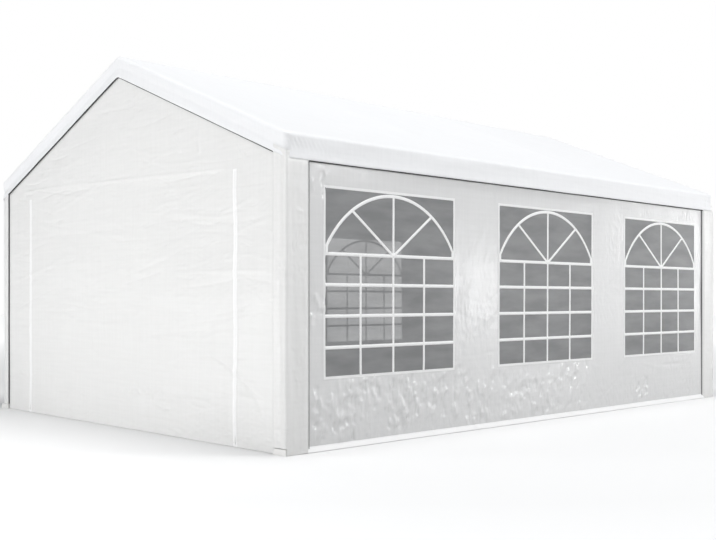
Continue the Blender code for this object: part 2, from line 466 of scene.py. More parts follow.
class SurfaceGroups:
    """Shader node groups for the effects that several finishes share.

    Attributes:
        VECTOR: Blender's name of a vector socket.
        NUMBER: Blender's name of a number socket.
        THREAD: How a row of tape draws its noise out, along and across it.
    """

    VECTOR = "NodeSocketVector"
    NUMBER = "NodeSocketFloat"
    THREAD = (2.0, 45.0)

    def _new(self, name: str, vector: str, number: str, *outputs: str) -> tuple[Wiring, bpy.types.Node]:
        """Starts a group with one vector input, one number input and number outputs.

        Args:
            name: The group's name.
            vector: Name of the vector input.
            number: Name of the number input.
            outputs: Names of the outputs.

        Returns:
            The wiring of the group, and its input node.
        """
        tree = bpy.data.node_groups.new(name, "ShaderNodeTree")
        tree.interface.new_socket(name=vector, in_out="INPUT", socket_type=self.VECTOR)
        tree.interface.new_socket(name=number, in_out="INPUT", socket_type=self.NUMBER)
        for socket in outputs:
            tree.interface.new_socket(name=socket, in_out="OUTPUT", socket_type=self.NUMBER)
        wiring = Wiring(tree)
        return wiring, wiring.add("NodeGroupInput")

    def woven_tapes(self) -> bpy.types.NodeTree:
        """Builds flat tapes woven over and under, with uneven rows of them.

        Returns:
            The group, which puts out Height and Plaid.
        """
        wiring, given = self._new("woven_tapes", "Cloth", "Pitch", "Height", "Plaid")
        cloth = given.outputs["Cloth"]
        counted = wiring.scaled(cloth, given.outputs["Pitch"])
        tapes = wiring.add("ShaderNodeSeparateXYZ", {"Vector": counted})
        warp = wiring.math("SINE", wiring.math("MULTIPLY", tapes.outputs["X"], math.pi))
        weft = wiring.math("SINE", wiring.math("MULTIPLY", tapes.outputs["Y"], math.pi))
        rows = []
        for thread in (self.THREAD, self.THREAD[::-1]):
            drawn = wiring.stretched(cloth, (*thread, 1.0))
            noise = wiring.add("ShaderNodeTexNoise", {"Vector": drawn, "Scale": 1.0, "Detail": 3.0})
            rows.append(noise.outputs["Fac"])
        plaid = wiring.math("MULTIPLY", wiring.math("ADD", *rows), 0.5)
        height = wiring.math("MULTIPLY", wiring.math("MULTIPLY", warp, weft), 0.5)
        wiring.add("NodeGroupOutput", {"Height": height, "Plaid": plaid})
        return wiring.tree

    def packed_crinkle(self) -> bpy.types.NodeTree:
        """Builds small sharp wrinkles of stiff sheeting.

        Returns:
            The group, which puts out Height.
        """
        wiring, given = self._new("packed_crinkle", "Cloth", "Size", "Height")
        cloth = wiring.scaled(given.outputs["Cloth"], given.outputs["Size"])
        bent = wiring.add("ShaderNodeTexNoise", {"Vector": cloth, "Scale": 0.35, "Detail": 1.0})
        moved = {0: bent.outputs["Color"], 1: (1.6, 1.6, 1.6), 2: cloth}
        spots = wiring.add("ShaderNodeVectorMath", moved, operation="MULTIPLY_ADD").outputs[0]
        facets = wiring.add("ShaderNodeTexVoronoi", {"Vector": spots, "Scale": 0.55}, feature="F1")
        sharp = {"Vector": spots, "Scale": 1.0, "Detail": 3.0, "Roughness": 0.45}
        kind = {"noise_type": "RIDGED_MULTIFRACTAL", "normalize": True}
        ridges = wiring.add("ShaderNodeTexNoise", sharp, **kind)
        faceted = wiring.math("MULTIPLY", facets.outputs["Distance"], 0.7)
        mixed = wiring.math("ADD", faceted, ridges.outputs["Fac"])
        wiring.add("NodeGroupOutput", {"Height": wiring.math("MULTIPLY", mixed, 0.5)})
        return wiring.tree

    def ground_dust(self) -> bpy.types.NodeTree:
        """Builds dust that fades with height over the ground.

        Returns:
            The group, which puts out Mask, and Near without the specks.
        """
        wiring, given = self._new("ground_dust", "Point", "Reach", "Mask", "Near")
        parts = wiring.add("ShaderNodeSeparateXYZ", {"Vector": given.outputs["Point"]})
        rise = wiring.math("DIVIDE", parts.outputs["Z"], given.outputs["Reach"])
        left = wiring.math("MAXIMUM", wiring.math("SUBTRACT", 1.0, rise), 0.0)
        near = wiring.math("POWER", left, 2.0)
        spread = {"Vector": given.outputs["Point"], "Scale": 9.0, "Detail": 6.0}
        specks = wiring.add("ShaderNodeTexNoise", spread)
        mask = wiring.math("MULTIPLY", near, wiring.math("MULTIPLY", specks.outputs["Fac"], 1.6))
        wiring.add("NodeGroupOutput", {"Mask": mask, "Near": near})
        return wiring.tree

    def fine_grain(self) -> bpy.types.NodeTree:
        """Builds the even small bumps of sprayed powder or moulded plastic.

        Returns:
            The group, which puts out Height.
        """
        wiring, given = self._new("fine_grain", "Point", "Size", "Height")
        vector = wiring.scaled(given.outputs["Point"], given.outputs["Size"])
        grain = wiring.add("ShaderNodeTexNoise", {"Vector": vector, "Scale": 1.0, "Detail": 2.0})
        wiring.add("NodeGroupOutput", {"Height": grain.outputs["Fac"]})
        return wiring.tree


@dataclass
class Groups:
    """The built groups."""

    woven: bpy.types.NodeTree
    crinkle: bpy.types.NodeTree
    dust: bpy.types.NodeTree
    grain: bpy.types.NodeTree

    @classmethod
    def built(cls) -> "Groups":
        """Builds each group once."""
        maker = SurfaceGroups()
        return cls(maker.woven_tapes(), maker.packed_crinkle(), maker.ground_dust(), maker.fine_grain())


def new_material(name: str) -> tuple[bpy.types.Material, Wiring, bpy.types.Node]:
    """A material with one Principled shader.

    Args:
        name: The material's name.

    Returns:
        The material, its wiring and its shader.
    """
    material = bpy.data.materials.new(name)
    material.use_nodes = True
    return material, Wiring(material.node_tree), material.node_tree.nodes["Principled BSDF"]


@dataclass(frozen=True)
class Tarpaulin:
    """Coated woven sheeting.

    Attributes:
        name: The material's name.
        colour: Colour of the clean cloth.
        shade: Colour that dust and thin rows of tape turn it to.
        roughness: Roughness of the coating where it is flat.
        pitch: Distance between woven tapes.
        weave: Depth of the weave.
        crinkle: Depth of the small wrinkles.
        crinkle_size: Distance between small wrinkles.
        crinkle_draw: How closely they follow each other across and up, against crinkle_size.
        low_crinkle: How much deeper they are at the ground.
        low_reach: Height over the ground at which they are no deeper.
        dust_reach: Height over the ground that dust reaches.
        lamination: Strength of the clear film on the cloth.
        lamination_roughness: Roughness of that film.
        THIN_ROWS: Plaid values from which and to which the cloth looks thin.
        THIN_SHARE: How strongly thin rows turn to the shade.
        DUST_SHARE: How strongly dust does.
    """

    THIN_ROWS = (0.42, 0.60)
    THIN_SHARE = 0.22
    DUST_SHARE = 0.2

    name: str
    colour: Colour
    shade: Colour
    roughness: float = 0.36
    pitch: float = 0.0045
    weave: float = 0.00025
    crinkle: float = 0.0030
    crinkle_size: float = 0.045
    crinkle_draw: Triple = (1.0, 1.0, 1.0)
    low_crinkle: float = 0.0
    low_reach: float = 0.75
    dust_reach: float = 0.30
    lamination: float = 0.0
    lamination_roughness: float = 0.16

    def material(self, groups: Groups) -> bpy.types.Material:
        """Builds the material.

        Args:
            groups: The shared node groups.

        Returns:
            The material.
        """
        material, wiring, shader = new_material(self.name)
        cloth = wiring.add("ShaderNodeUVMap", uv_map=CLOTH_MAP).outputs["UV"]
        point = wiring.add("ShaderNodeTexCoord").outputs["Object"]
        woven = wiring.group(groups.woven, {"Cloth": cloth, "Pitch": self.pitch})
        drawn = wiring.stretched(cloth, self.crinkle_draw)
        crinkle = wiring.group(groups.crinkle, {"Cloth": drawn, "Size": self.crinkle_size})
        dust = wiring.group(groups.dust, {"Point": point, "Reach": self.dust_reach})
        least, most = self.THIN_ROWS
        rows = {"Value": woven.outputs["Plaid"], "From Min": least, "From Max": most}
        thin = wiring.math("MULTIPLY", wiring.add("ShaderNodeMapRange", rows).outputs[0], self.THIN_SHARE)
        dusty = wiring.math("MULTIPLY", dust.outputs["Mask"], self.DUST_SHARE)
        worn = wiring.math("ADD", thin, dusty)
        wiring.feed(shader.inputs["Base Color"], wiring.tinted(worn, self.colour, self.shade))
        shader.inputs["Roughness"].default_value = self.roughness
        shader.inputs["Coat Weight"].default_value = self.lamination
        shader.inputs["Coat Roughness"].default_value = self.lamination_roughness
        low = wiring.group(groups.dust, {"Point": point, "Reach": self.low_reach}).outputs["Near"]
        strength = wiring.math("ADD", wiring.math("MULTIPLY", low, self.low_crinkle), 1.0)
        height = wiring.math("MULTIPLY", crinkle.outputs["Height"], strength)
        normal = wiring.bumped(height, self.crinkle)
        wiring.feed(shader.inputs["Normal"], wiring.bumped(woven.outputs["Height"], self.weave, normal))
        return material


@dataclass(frozen=True)
class ClearFilm:
    """Clear window film, whose grey tone partly paints the shade of the dim inside seen through it.

    Attributes:
        name: The material's name.
        colour: Colour of the film, a grey that partly paints the shade of the dim inside.
        haze: Colour of its cloudy streaks.
        cover: Share of what lies behind that the film hides.
        roughness: Roughness of its surface.
        gloss: Strength of its reflections.
        ripple: Depth of its wrinkles.
        ripple_size: Distance between wrinkles.
        streak: How closely the streaks follow each other along and up.
    """

    name: str = "window_film"
    colour: Colour = (0.36, 0.365, 0.37)
    haze: Colour = (0.46, 0.465, 0.47)
    cover: float = 0.62
    roughness: float = 0.30
    gloss: float = 0.20
    ripple: float = 0.0012
    ripple_size: float = 0.16
    streak: Triple = (2.2, 9.0, 1.0)

    def material(self, groups: Groups) -> bpy.types.Material:
        """Builds the material.

        Args:
            groups: The shared node groups.

        Returns:
            The material.
        """
        material, wiring, shader = new_material(self.name)
        cloth = wiring.add("ShaderNodeUVMap", uv_map=CLOTH_MAP).outputs["UV"]
        crinkle = wiring.group(groups.crinkle, {"Cloth": cloth, "Size": self.ripple_size})
        streaks = wiring.stretched(cloth, self.streak)
        haze = wiring.add("ShaderNodeTexNoise", {"Vector": streaks, "Scale": 1.0, "Detail": 4.0})
        clouded = {"Value": haze.outputs["Fac"], "From Min": 0.35, "From Max": 0.65}
        spread = wiring.add("ShaderNodeMapRange", clouded)
        # The grey colour, together with the cover, partly paints the shade of the dim inside seen through the
        # clear film.
        wiring.feed(shader.inputs["Base Color"], wiring.tinted(spread.outputs[0], self.colour, self.haze))
        shader.inputs["Alpha"].default_value = self.cover
        shader.inputs["Roughness"].default_value = self.roughness
        shader.inputs["Specular IOR Level"].default_value = self.gloss
        wiring.feed(shader.inputs["Normal"], wiring.bumped(crinkle.outputs["Height"], self.ripple))
        return material


@dataclass(frozen=True)
class Coating:
    """A painted, moulded or rubber surface with fine grain and a little dust.

    Attributes:
        name: The material's name.
        colour: Colour of the clean surface.
        shade: Colour that wear and dust turn it to.
        roughness: Roughness where it is smoothest.
        grain_size: Distance between grains.
        grain: Depth of the grain.
        metallic: Share of metal in the surface.
        dust_reach: Height over the ground that dust reaches.
        CLOUD_SHARE: How strongly uneven wear turns to the shade.
        DUST_SHARE: How strongly dust does.
        UNEVEN: How much rougher the surface is where it is worn.
    """

    CLOUD_SHARE = 0.35
    DUST_SHARE = 0.6
    UNEVEN = 0.12

    name: str
    colour: Colour
    shade: Colour
    roughness: float
    grain_size: float = 0.0016
    grain: float = 0.00008
    metallic: float = 0.0
    dust_reach: float = 0.12

    def material(self, groups: Groups) -> bpy.types.Material:
        """Builds the material.

        Args:
            groups: The shared node groups.

        Returns:
            The material.
        """
        material, wiring, shader = new_material(self.name)
        point = wiring.add("ShaderNodeTexCoord").outputs["Object"]
        grain = wiring.group(groups.grain, {"Point": point, "Size": self.grain_size})
        clouds = wiring.add("ShaderNodeTexNoise", {"Vector": point, "Scale": 6.0, "Detail": 5.0})
        dust = wiring.group(groups.dust, {"Point": point, "Reach": self.dust_reach})
        clouded = wiring.math("MULTIPLY", clouds.outputs["Fac"], self.CLOUD_SHARE)
        dusty = wiring.math("MULTIPLY", dust.outputs["Mask"], self.DUST_SHARE)
        worn = wiring.math("ADD", clouded, dusty)
        wiring.feed(shader.inputs["Base Color"], wiring.tinted(worn, self.colour, self.shade))
        shader.inputs["Metallic"].default_value = self.metallic
        uneven = {0: clouds.outputs["Fac"], 1: self.UNEVEN, 2: self.roughness}
        rough = wiring.add("ShaderNodeMath", uneven, operation="MULTIPLY_ADD")
        wiring.feed(shader.inputs["Roughness"], rough.outputs[0])
        wiring.feed(shader.inputs["Normal"], wiring.bumped(grain.outputs["Height"], self.grain))
        return material


@dataclass
class Finishes:
    """Every material of the marquee.

    The edging goes round the windows, and the socket is that of the connectors. The tape is also the long
    walls' hems, where its whiter colour is partly a painted highlight.
    The bead is dark piping under the valance and on the gables, partly a painted shadow gap. The seam is a
    grey bead on the long walls, partly a painted contact shadow.
    """

    roof: bpy.types.Material
    gable: bpy.types.Material
    wall: bpy.types.Material
    edging: bpy.types.Material
    tape: bpy.types.Material
    film: bpy.types.Material
    bars: bpy.types.Material
    tube: bpy.types.Material
    socket: bpy.types.Material
    foot: bpy.types.Material
    bead: bpy.types.Material
    seam: bpy.types.Material
    teeth: bpy.types.Material

    @classmethod
    def built(cls, groups: Groups) -> "Finishes":
        """Builds every material.

        Args:
            groups: The shared node groups.

        Returns:
            The materials.
        """
        # The roof, gables and long walls are one white tarpaulin in three tones, lightest on the roof and
        # darkest on the long walls. This is partly painted light and shade: the roof is lit from above and
        # the long walls are in shade.
        roof = Tarpaulin("roof_tarpaulin", (0.895, 0.90, 0.912), (0.80, 0.805, 0.82), 0.48, dust_reach=0.1)
        along, upright = (0.6, 1.0, 1.0), (1.0, 0.5, 1.0)
        gable = Tarpaulin(
            "gable_tarpaulin",
            (0.84, 0.838, 0.829),
            (0.75, 0.748, 0.738),
            0.30,
            crinkle=0.0044,
            crinkle_draw=along,
            low_crinkle=0.5,
        )
        wall = Tarpaulin(
            "wall_tarpaulin",
            (0.765, 0.765, 0.765),
            (0.665, 0.665, 0.665),
            0.27,
            crinkle=0.0017,
            crinkle_draw=upright,
            low_crinkle=4.0,
            lamination=0.35,
        )
        edging = Tarpaulin("border_tarpaulin", (0.895, 0.895, 0.895), (0.82, 0.82, 0.82), crinkle=0.0012)
        tape = Tarpaulin("zip_tape", (0.97, 0.97, 0.97), (0.92, 0.92, 0.92), roughness=0.45, crinkle=0.0008)
        bars = Coating("white_window_bars", (0.97, 0.97, 0.97), (0.94, 0.94, 0.94), 0.36)
        tube = Coating("white_powder_coat", (0.82, 0.82, 0.81), (0.70, 0.70, 0.69), 0.30, metallic=0.1)
        socket = Coating("white_connector_coat", (0.78, 0.78, 0.77), (0.66, 0.66, 0.65), 0.38, metallic=0.1)
        foot = Coating("moulded_foot", (0.92, 0.92, 0.91), (0.78, 0.77, 0.75), 0.45, grain_size=0.003)
        # The dark bead partly paints the shadow gap under the valance and beside the gables' corner covers.
        bead = Coating("dark_edge_bead", (0.030, 0.030, 0.032), (0.055, 0.055, 0.056), 0.50)
        # The grey seam bead partly paints the soft contact shadow beside the long walls' corner covers.
        seam = Coating("grey_edge_bead", (0.15, 0.15, 0.152), (0.19, 0.19, 0.19), 0.50)
        teeth = Coating("zip_teeth", (0.95, 0.95, 0.95), (0.86, 0.86, 0.86), 0.32)
        made = [finish.material(groups) for finish in (roof, gable, wall, edging, tape, ClearFilm())]
        made += [finish.material(groups) for finish in (bars, tube, socket, foot, bead, seam, teeth)]
        return cls(*made)


@dataclass(frozen=True)
class Measures:
    """Sizes of the marquee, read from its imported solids.

    Attributes:
        skin: Half the thickness of the solids that the cloth stands for.
        half_span: Half the width over the roof cover.
        half_length: Half the length over the roof cover.
        ridge: Height of the ridge.
        eave: Height of the fold into the side valance.
        valance_low: Height of the side valance's lower edge.
        wall_x: Outer face of a long wall.
        wall_y: Outer face of a gable.
        wall_top: Top of a long wall.
        wall_end: Half the length of a long wall.
        gable_end: Half the width of a gable.
        gable_top: Highest point of a gable.
        door_half: Half the width of a door.
        door_top: Top of a door.
        clearance: Height of the walls' lower edge.
        on_gable: Width of a corner cover on the gable.
        on_side: Width of a corner cover on the long wall.
        foot_height: Height of a moulded foot.
        foot_inset: Distance from the outer faces to the inner face of a corner's foot.
        leg_x: Middle of the legs and eave tubes.
        arches: Middle of each arch along the building.
        window_half: Half the width of a window.
        window_low: Height of a window's lower edge.
        window_high: Height of its upper edge.
        window_pitch: Distance between windows.
        BESIDE_FOOT: Gap that the cloth keeps beside a foot.
        OVER_FOOT: Gap that it keeps over one.
    """

    BESIDE_FOOT = 0.0037
    OVER_FOOT = 0.004

    skin: float
    half_span: float
    half_length: float
    ridge: float
    eave: float
    valance_low: float
    wall_x: float
    wall_y: float
    wall_top: float
    wall_end: float
    gable_end: float
    gable_top: float
    door_half: float
    door_top: float
    clearance: float
    on_gable: float
    on_side: float
    foot_height: float
    foot_inset: float
    leg_x: float
    arches: tuple[float, ...]
    window_half: float
    window_low: float
    window_high: float
    window_pitch: float

    @classmethod
    def from_frame(cls) -> "Measures":
        """Reads the boxes of the solids.

        Returns:
            The sizes.
        """
        roof_low, roof_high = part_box("roof_cover")
        side_low, side_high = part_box("right_wall")
        gable_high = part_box("back_wall")[1]
        door_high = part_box("back_door")[1]
        corner_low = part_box("corner_cover_back_right")[0]
        pane_low, pane_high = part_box("window_middle_right")
        next_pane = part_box("window_back_right")[1]
        leg_low, leg_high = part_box("leg_back_right")
        tube_low, tube_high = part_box("eave_tube_middle_right")
        cover = [vertex.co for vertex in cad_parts["roof_cover"].data.vertices]
        leg = [vertex.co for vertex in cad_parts["leg_back_right"].data.vertices]
        names = ("front", "mid_front", "mid_back", "back")
        rafters = [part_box(f"rafter_{name}_right") for name in names]
        return cls(
            skin=round(side_high.x - side_low.x, 6) / 2.0,
            half_span=roof_high.x,
            half_length=roof_high.y,
            ridge=roof_high.z,
            eave=max(point.z for point in cover if point.x > roof_high.x - 1e-4),
            valance_low=roof_low.z,
            wall_x=side_high.x,
            wall_y=gable_high.y,
            wall_top=side_high.z,
            wall_end=side_high.y,
            gable_end=gable_high.x,
            gable_top=gable_high.z,
            door_half=door_high.x,
            door_top=door_high.z,
            clearance=side_low.z,
            on_gable=roof_high.x - corner_low.x,
            on_side=roof_high.y - corner_low.y,
            foot_height=max(point.z for point in leg if point.z < leg_high.z / 2.0),
            foot_inset=roof_high.x - leg_low.x,
            leg_x=(tube_low.x + tube_high.x) / 2.0,
            arches=tuple((low.y + high.y) / 2.0 for low, high in rafters),
            window_half=(pane_high.y - pane_low.y) / 2.0,
            window_low=pane_low.z,
            window_high=pane_high.z,
            window_pitch=next_pane.y - pane_high.y,
        )

    @property
    def slope(self) -> float:
        """Rise of the roof for each metre across."""
        return (self.ridge - self.eave) / self.half_span

    @property
    def notch(self) -> float:
        """Width of the cut that clears a foot, from the outer faces."""
        return self.foot_inset + self.BESIDE_FOOT

    @property
    def step_z(self) -> float:
        """Height of the cut that clears a foot."""
        return self.foot_height + self.OVER_FOOT

    def hem_height(self, x: np.ndarray) -> np.ndarray:
        """Height of the valance's lower edge at places across the gable."""
        return self.valance_low + self.slope * (self.half_span - np.abs(x))


def mesh_of(
    name: str, points: np.ndarray, quads: np.ndarray, cloth: np.ndarray | None = None
) -> bpy.types.Mesh:
    """A smooth mesh of the quads, without the points that no quad uses.

    Args:
        name: The mesh's name.
        points: One row of three numbers for each point.
        quads: Four point numbers for each face.
        cloth: Cloth coordinates of each point, for the weave.

    Returns:
        The mesh.
    """
    used, corners = np.unique(quads.ravel(), return_inverse=True)
    mesh = bpy.data.meshes.new(name)
    mesh.vertices.add(len(used))
    mesh.vertices.foreach_set("co", points[used].astype(np.float32).ravel())
    mesh.loops.add(len(corners))
    mesh.loops.foreach_set("vertex_index", corners.astype(np.int32).ravel())
    mesh.polygons.add(len(corners) // 4)
    mesh.polygons.foreach_set("loop_start", np.arange(0, len(corners), 4, dtype=np.int32))
    mesh.update(calc_edges=True)
    if cloth is not None:
        layer = mesh.uv_layers.new(name=CLOTH_MAP)
        layer.uv.foreach_set("vector", cloth[quads.ravel()].astype(np.float32).ravel())
    mesh.shade_smooth()
    return mesh


def grid_quads(rows: int, columns: int, keep: np.ndarray | None = None) -> np.ndarray:
    """The faces of a grid of points, numbered row by row.

    Args:
        rows: Number of rows of points.
        columns: Number of points in a row.
        keep: For each face, whether it is kept.

    Returns:
        Four point numbers for each face.
    """
    index = np.arange(rows * columns).reshape(rows, columns)
    quads = np.stack([index[:-1, :-1], index[:-1, 1:], index[1:, 1:], index[1:, :-1]], axis=-1)
    return quads.reshape(-1, 4) if keep is None else quads[keep]


def runs_along(line: np.ndarray) -> np.ndarray:
    """Distance of each point of a line from its first, along the line."""
    return np.concatenate([[0.0], np.cumsum(np.linalg.norm(np.diff(line, axis=0), axis=1))])


def middles(grid: np.ndarray) -> np.ndarray:
    """A value for the middle of each face of a grid."""
    return (grid[:-1, :-1] + grid[1:, 1:]) / 2.0


def swept(
    name: str, path: np.ndarray, aside: np.ndarray, out: np.ndarray, profile: np.ndarray, closed: bool
) -> bpy.types.Mesh:
    """A profile carried along a path.

    Args:
        name: The mesh's name.
        path: Points of the path.
        aside: Direction of the profile's first coordinate at each point.
        out: Direction of its second coordinate at each point.
        profile: Points of the profile.
        closed: Whether the profile's last point joins its first.

    Returns:
        The mesh.
    """
    turned = np.vstack([profile, profile[:1]]) if closed else profile
    points = path[:, None] + turned[None, :, :1] * aside[:, None] + turned[None, :, 1:] * out[:, None]
    spread = np.meshgrid(runs_along(path), runs_along(turned), indexing="ij")
    cloth = np.stack(spread, axis=-1).reshape(-1, 2)
    return mesh_of(name, points.reshape(-1, 3), grid_quads(len(path), len(turned)), cloth)


def mesh_from(name: str, shape: bmesh.types.BMesh) -> bpy.types.Mesh:
    """A mesh of a bmesh, which is freed.

    Args:
        name: The mesh's name.
        shape: The bmesh.

    Returns:
        The mesh.
    """
    mesh = bpy.data.meshes.new(name)
    shape.to_mesh(mesh)
    shape.free()
    return mesh


@dataclass
class Assembly(ABC):
    """What every sub-assembly shares.

    Attributes:
        sizes: Sizes of the marquee.
        finishes: Its materials.
        pieces: The pieces that are placed so far.
    """

    sizes: Measures
    finishes: Finishes
    pieces: list[bpy.types.Object] = field(default_factory=list, init=False)

    @abstractmethod
    def build(self) -> None:
        """Builds the sub-assembly's pieces."""

    def place(self, mesh: bpy.types.Mesh, material: bpy.types.Material, slot: Slot) -> bpy.types.Object:
        """Adds a piece that rides on the building.

        Args:
            mesh: The piece's mesh, whose name it takes.
            material: The piece's material.
            slot: The record's slot for its finish; not used.

        Returns:
            The piece.
        """
        piece = bpy.data.objects.new(mesh.name, mesh)
        bpy.context.scene.collection.objects.link(piece)
        mesh.materials.append(material)
        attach(piece, BODY)
        self.pieces.append(piece)
        LOG.info("%s: %d faces", piece.name, len(mesh.polygons))
        return piece


@dataclass
class RoofCloth(Assembly):
    """One sheet over both slopes that turns down into a valance all round.

    The crease is the long soft line along the valance, pressed in, and on_side the share of its depth on
    the long sides. The pleats are the gathers at a corner. Their reach is the distance from it at which they
    have fallen to a third. A step is a distance between points, and a zone has the finer step.
    """

    fold_radius: float = 0.030
    corner_round: float = 0.058
    ridge_round: float = 0.020
    sag: float = 0.020
    turn_in: float = 0.026
    hem_lift: float = 0.0012
    crease: float = -0.0105
    on_side: float = 0.25
    pleat_pitch: float = 0.040
    pleat_depth: float = 0.0150
    pleat_reach: float = 0.14
    edge_step: float = 0.0085
    field_step: float = 0.026
    edge_zone: float = 0.34
    ridge_zone: float = 0.06
    fold_rows: int = 5
    fall_step: float = 0.0110
    relief: Relief = field(
        default_factory=lambda: Relief(
            seed=41,
            waves=(Billow(0.006, 0.9, 0.7), Billow(0.003, 0.35, 0.5), Crumple(0.0022, 0.16, patch=0.9)),
            creases=StrayCreases(70, 70.0, 25.0, (0.25, 0.9)).drawn((-2.1, -2.9), (2.1, 2.9), 5),
        )
    )
    edge_relief: Relief = field(
        default_factory=lambda: Relief(
            seed=57,
            waves=(Billow(0.0035, 0.50, 0.9), Billow(0.0018, 0.16, 0.4), Crumple(0.0030, 0.075, patch=0.5)),
        )
    )

    def top_height(self, x: np.ndarray, y: np.ndarray) -> np.ndarray:
        """Height of the sheet over both slopes.

        Args:
            x: Places across.
            y: Places along.

        Returns:
            The height at each place.
        """
        sizes = self.sizes
        rise = np.sqrt(x * x + self.ridge_round**2) - self.ridge_round * 0.45
        arches = np.array(sizes.arches)
        bay = np.clip(np.searchsorted(arches, y) - 1, 0, len(arches) - 2)
        along = np.clip((y - arches[bay]) / (arches[bay + 1] - arches[bay]), 0.0, 1.0)
        across = np.clip(np.abs(x) / sizes.leg_x, 0.0, 1.0)
        hang = np.sin(math.pi * along) ** 0.8 * np.sin(math.pi * across**0.85)
        waves = self.relief.at(x, y) * smooth(0.0, 0.12, along) * smooth(1.0, 0.88, along)
        waves = limited(waves * smooth(0.0, 0.10, across) * smooth(1.0, 0.92, across), -0.012, 0.006)
        return sizes.ridge - sizes.skin - sizes.slope * rise - self.sag * hang + waves

    def plan(self) -> tuple[np.ndarray, np.ndarray]:
        """Plan points of the part inside the fold, on a grid whose corners are rounded.

        Returns:
            x and y of each point, with one row for each place along.
        """
        sizes, zone = self.sizes, self.edge_zone
        half_x = sizes.half_span - sizes.skin - self.fold_radius
        half_y = sizes.half_length - sizes.skin - self.fold_radius
        fine, wide, ridge = self.edge_step, self.field_step, self.ridge_zone
        left, right = (-half_x, fine, zone - half_x, wide), (wide, half_x - zone, fine, half_x)
        across = spaced(*left, -ridge, fine, ridge, *right)
        along = spaced(-half_y, fine, zone - half_y, wide, half_y - zone, fine, half_y)
        x, y = np.meshgrid(across, along)
        radius = self.corner_round - self.fold_radius
        over_x = np.maximum(np.abs(x) - (half_x - radius), 0.0) / radius
        over_y = np.maximum(np.abs(y) - (half_y - radius), 0.0) / radius
        inside = (over_x > 0.0) & (over_y > 0.0)
        reach = np.maximum(over_x, over_y)
        least = np.minimum(over_x, over_y) / np.where(reach > 0.0, reach, 1.0)
        turn = np.where(over_x >= over_y, math.pi / 4 * least, math.pi / 2 - math.pi / 4 * least)
        bent_x = np.sign(x) * (half_x - radius + radius * reach * np.cos(turn))
        bent_y = np.sign(y) * (half_y - radius + radius * reach * np.sin(turn))
        return np.where(inside, bent_x, x), np.where(inside, bent_y, y)

    def outward(self, x: np.ndarray, y: np.ndarray) -> np.ndarray:
        """Level direction away from the building at points on the inner edge of the fold.

        Args:
            x: Places across.
            y: Places along.

        Returns:
            One direction for each point.
        """
        sizes = self.sizes
        core_x = sizes.half_span - sizes.skin - self.corner_round
        core_y = sizes.half_length - sizes.skin - self.corner_round
        away = np.stack([x - np.clip(x, -core_x, core_x), y - np.clip(y, -core_y, core_y)], axis=-1)
        radius = self.corner_round - self.fold_radius
        away = np.where(np.abs(away) < radius * 1e-3, 0.0, away)
        return away / np.linalg.norm(away, axis=-1, keepdims=True)

    def pleats(self, x: np.ndarray, y: np.ndarray, fall: np.ndarray) -> np.ndarray:
        """Gathers where the cloth is pulled round each corner, strongest at the fold.

        Args:
            x: Places across.
            y: Places along.
            fall: Share of the way from the fold to the hem.

        Returns:
            The height at each place.
        """
        from_corner = np.hypot(self.sizes.half_span - np.abs(x), self.sizes.half_length - np.abs(y))
        noise = Noise(73)
        slanted = from_corner - 0.10 * fall
        phase = math.pi * slanted / self.pleat_pitch + 1.1 * noise.at(x * 9.0, y * 9.0 + fall)
        strength = self.pleat_depth * np.exp(-from_corner / self.pleat_reach) * smooth(0.62, 0.30, fall)
        return strength * (0.6 - np.abs(np.sin(phase)))

    def valance_lift(self, x: np.ndarray, y: np.ndarray, fall: np.ndarray, gable: np.ndarray) -> np.ndarray:
        """How far the valance stands out, with a long soft crease along it.

        Args:
            x: Places across.
            y: Places along.
            fall: Share of the way from the fold to the hem.
            gable: Share by which the place faces a gable.

        Returns:
            The lift at each place.
        """
        crease = 0.50 + 0.07 * np.sin(1.7 * x + 0.9 * y)
        band = np.where(fall < crease, fall / crease, (1.0 - fall) / (1.0 - crease))
        lift = self.crease * np.clip(band, 0.0, 1.0) * (self.on_side + (1.0 - self.on_side) * gable)
        swing = self.edge_relief.at(x - 0.21 * fall, y + 0.17 * fall)
        held = smooth(0.0, 0.25, fall) * smooth(1.25, 0.80, fall)
        gathers = self.pleats(x, y, fall) * (1.0 - 0.7 * gable)
        hem = self.hem_lift * smooth(0.78, 0.82, fall)
        return lift + limited(swing * held, -0.004, 0.008) + gathers + hem

